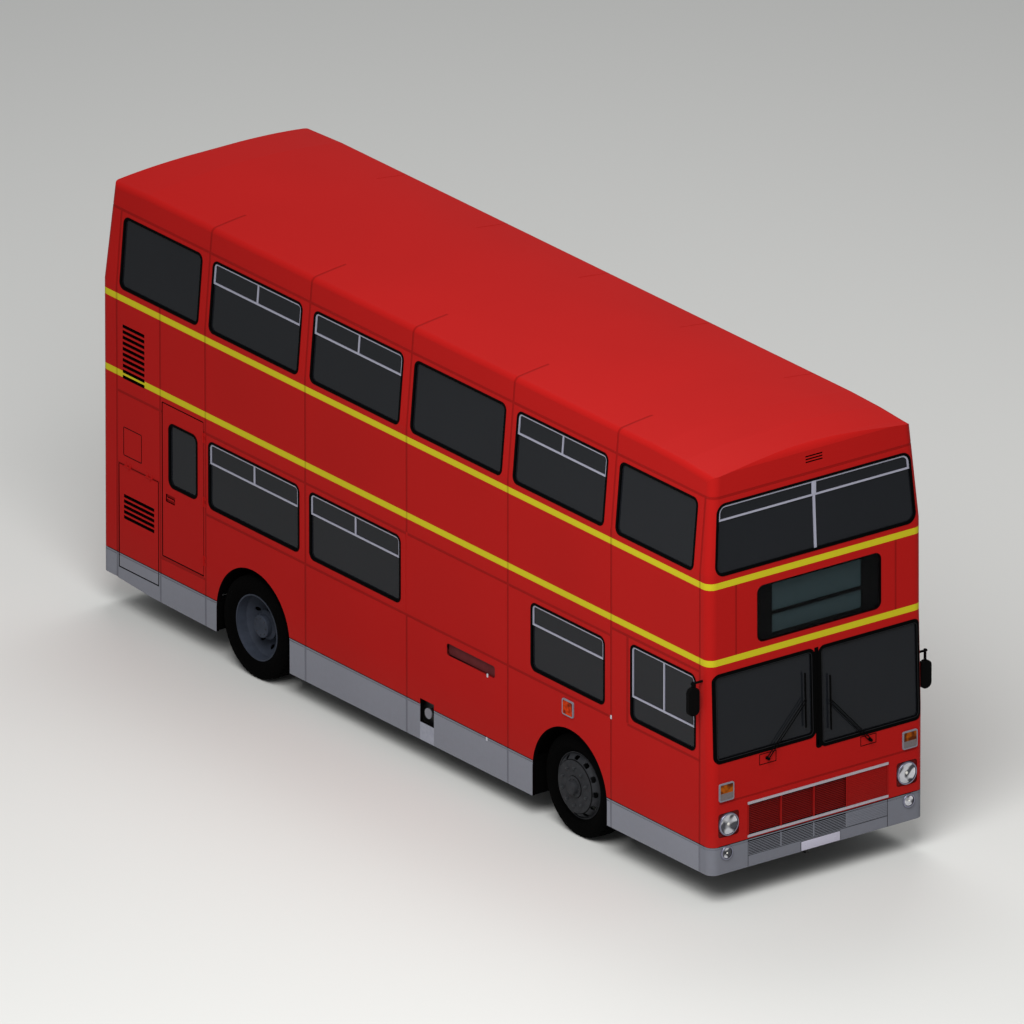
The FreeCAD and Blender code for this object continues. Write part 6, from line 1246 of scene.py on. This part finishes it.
stands_for_seats = None
for name, floor, first, rows, side in SEAT_ROWS:
    places = list(seat_places(floor, first, rows, side))
    squabs = cushions("seat_squabs_" + name, squab_shape, SQUAB_WAY, SQUAB_AT, places)
    if stands_for_seats is None:
        stands_for_seats = squabs
        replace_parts(squabs, "passenger_seats")
    cushions("seat_backs_" + name, back_shape, BACK_WAY, BACK_AT, places)
    runs, shells = [], bmesh.new()
    inner, outer = side * SEAT_SIDES[0], side * SEAT_SIDES[1]
    for row in range(rows):
        x = BODY_FRONT - first - row * SEAT_PITCH
        for y in (inner + side * LEG_IN, outer - side * LEG_IN):
            runs.append([(x + LEG_X, y, floor), (x + LEG_X, y, floor + LEG_HIGH),
                         (x + LEG_CORNER_X, y, floor + LEG_HIGH), (x + LEG_FRONT_X, y, floor)])
        ends = (inner + side * RAIL_IN, outer - side * RAIL_IN)
        rail = [[(x - behind, y, floor + up) for behind, up in (RAIL_FOOT, RAIL_HEAD)] for y in ends]
        runs.append(rail[0] + rail[1][::-1])
        put(shells, rounded_plate(shells, *SHELL), Matrix.Rotation(-BACK_TILT, 3, "Y") @ FACING["rear"],
            (x - SHELL_BEHIND, (inner + outer) / 2, floor + SHELL_UP))
    tubes("seat_tubes_" + name, runs, 0.012, rail_steel, "bus_body")
    finish_piece("seat_shells_" + name, shells, [seat_shell], "bus_body")

# ---- Hand poles ----
# Upright poles stand on the seats' grab rails beside the gangways and reach the ceiling, in pale
# plastic-coated tube; each carries a red bell push.

pole_coat = plain_finish("pale_coated_tube", "b9b4a6", 0.45, "a39e90", 60.0, level=0.3)
push_red = plain_finish("red_bell_push", "9c1512", 0.4, "7c100e", 120.0, level=0.3)
POLE_RADIUS = 0.016
PUSH_UP = 1.20
# name of the seat group, the rows with a pole, the piece of the bus that is the ceiling
POLE_ROWS = (("lower_nearside", (0, 2, 3), "upper_floor"), ("lower_offside", (0, 1), "upper_floor"),
             ("upper_nearside", (0, 3, 6, 9), "roof"), ("upper_offside_front", (0, 2), "roof"),
             ("upper_offside_rear", (0, 2, 4), "roof"))
runs, pushes = [], bmesh.new()
for group, rows, ceiling in POLE_ROWS:
    floor, first, side = next((row[1], row[2], row[4]) for row in SEAT_ROWS if row[0] == group)
    for row in rows:
        x = BODY_FRONT - first - row * SEAT_PITCH - RAIL_HEAD[0]
        foot = Vector((x, side * (SEAT_SIDES[0] + RAIL_IN), floor + RAIL_HEAD[1]))
        struck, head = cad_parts[ceiling].ray_cast(foot, Vector((0, 0, 1)))[:2]
        if struck:
            runs.append([tuple(foot), tuple(head)])
            stick(pushes, "rear", (x - POLE_RADIUS * 0.7, foot.y, floor + PUSH_UP),
                  0.044, 0.070, 0.010, 0.024, 0.005)
tubes("hand_poles", runs, POLE_RADIUS, pole_coat, "bus_body")
finish_piece("bell_pushes", pushes, [push_red], "bus_body")

# ---- Cab ----
# A moulded grey-black instrument panel with round dials and switches, the driver's seat on its
# pedestal, and a black steering wheel; partitions are plain laminate.

cab_moulding = plain_finish("charcoal_cab_moulding", "26272a", 0.55, "323337", 260.0, 0.5, bump=0.3)
rim_moulding = plain_finish("black_wheel_rim", "0e0e10", 0.4, "1a1a1c", 200.0, 0.4, bump=0.15)
dial_black = plain_finish("dial_face", "0a0a0b", 0.3, "111112", 80.0)
mesh = dress("driver_cab", cab_moulding, inner_laminate)
# everything of the cab behind this is partition
PARTITION_X = BODY_FRONT - 1.510 + 0.031
recoat(mesh, 1, lambda face: face.center.x < PARTITION_X)
dress("steering_wheel", rim_moulding)
DRIVER_X, DRIVER_Y = BODY_FRONT - 1.330, -0.760
driver_place = [(DRIVER_X, DRIVER_Y, LOWER_FLOOR)]
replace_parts(cushions("driver_squab", squab_shape, SQUAB_WAY, SQUAB_AT, driver_place), "driver_seat")
cushions("driver_back", back_shape, BACK_WAY, BACK_AT, driver_place)
# the pedestal's base plate and, above it, its drums: radius, foot, head
PEDESTAL_X, PEDESTAL_BASE = DRIVER_X + 0.18, (0.30, 0.30, 0.03, 0.05, 0.006)
PEDESTAL = ((0.060, 0.05, 0.20), (0.085, 0.20, 0.24), (0.060, 0.24, 0.30), (0.085, 0.30, 0.34))
bm = bmesh.new()
put(bm, rounded_plate(bm, *PEDESTAL_BASE), Matrix.Identity(3), (PEDESTAL_X, DRIVER_Y, LOWER_FLOOR))
for radius, low, high in PEDESTAL:
    drum(bm, 32, radius, radius, high - low,
         Matrix.Translation((PEDESTAL_X, DRIVER_Y, LOWER_FLOOR + (low + high) / 2)))
finish_piece("driver_seat_pedestal", bm, [cab_moulding], "bus_body")
# dials and switches on the panel's sloping rear edge: Y and radius of each dial, Y of each switch
DIALS, DIAL_DEEP = ((-0.90, 0.055), (-0.76, 0.065), (-0.62, 0.055)), 0.016
SWITCHES = [-1.08 + 0.05 * turn if turn < 2 else -0.75 + 0.05 * turn for turn in range(8)]
PANEL_REAR = Vector((BODY_FRONT - 0.515, 0.0, 1.255))
PANEL_WAY = Matrix.Rotation(math.radians(31), 3, "Y") @ FACING["rear"]
bm = bmesh.new()
for y, radius in DIALS:
    put(bm, drum(bm, 36, radius, radius * 0.94, DIAL_DEEP), PANEL_WAY, (PANEL_REAR.x, y, PANEL_REAR.z))
for y in SWITCHES:
    put(bm, rounded_plate(bm, 0.022, 0.034, 0.004, 0.010, 0.002), PANEL_WAY, (PANEL_REAR.x, y, PANEL_REAR.z))
finish_piece("dials_and_switches", bm, [dial_black], "bus_body")

# ---- Entrance doors ----
# Four folding leaves of dark anodised aluminium with rubber nosings where they meet, and
# upright grab handles inside.

door_frame = plain_finish("dark_anodised_frame", "3c3d42", 0.4, "2f3034", 120.0, metal=0.4, bump=0.05)
# on the stile nearest the rear: heights of its ends, how far it stands off
HANDLE_FOOT, HANDLE_HEAD, HANDLE_OFF = 0.950, 1.500, 0.045
STILE_HALF = 0.028
NOSING_RADIUS, NOSING_SHORT = 0.004, 0.01
for number in (1, 2, 3, 4):
    node, body = "entrance_leaf_" + str(number), "door_leaf_" + str(number)
    dress(node, door_frame)
    low, high = [Vector(c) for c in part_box(node)]
    bm = bmesh.new()
    # a rounded nosing on each long edge
    for x in (low.x, high.x):
        drum(bm, 16, NOSING_RADIUS, NOSING_RADIUS, high.z - low.z - NOSING_SHORT,
             Matrix.Translation((x, (low.y + high.y) / 2, (low.z + high.z) / 2)))
    finish_piece("leaf_nosings_" + str(number), bm, [glazing_rubber], body)
    x, y = low.x + STILE_HALF, low.y
    handle = [(x, y, HANDLE_FOOT), (x, y - HANDLE_OFF, HANDLE_FOOT), (x, y - HANDLE_OFF, HANDLE_HEAD),
              (x, y, HANDLE_HEAD)]
    tubes("leaf_handle_" + str(number), [handle], 0.011, pole_coat, body)

# ---- The scene's bounds ----

low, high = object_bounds()
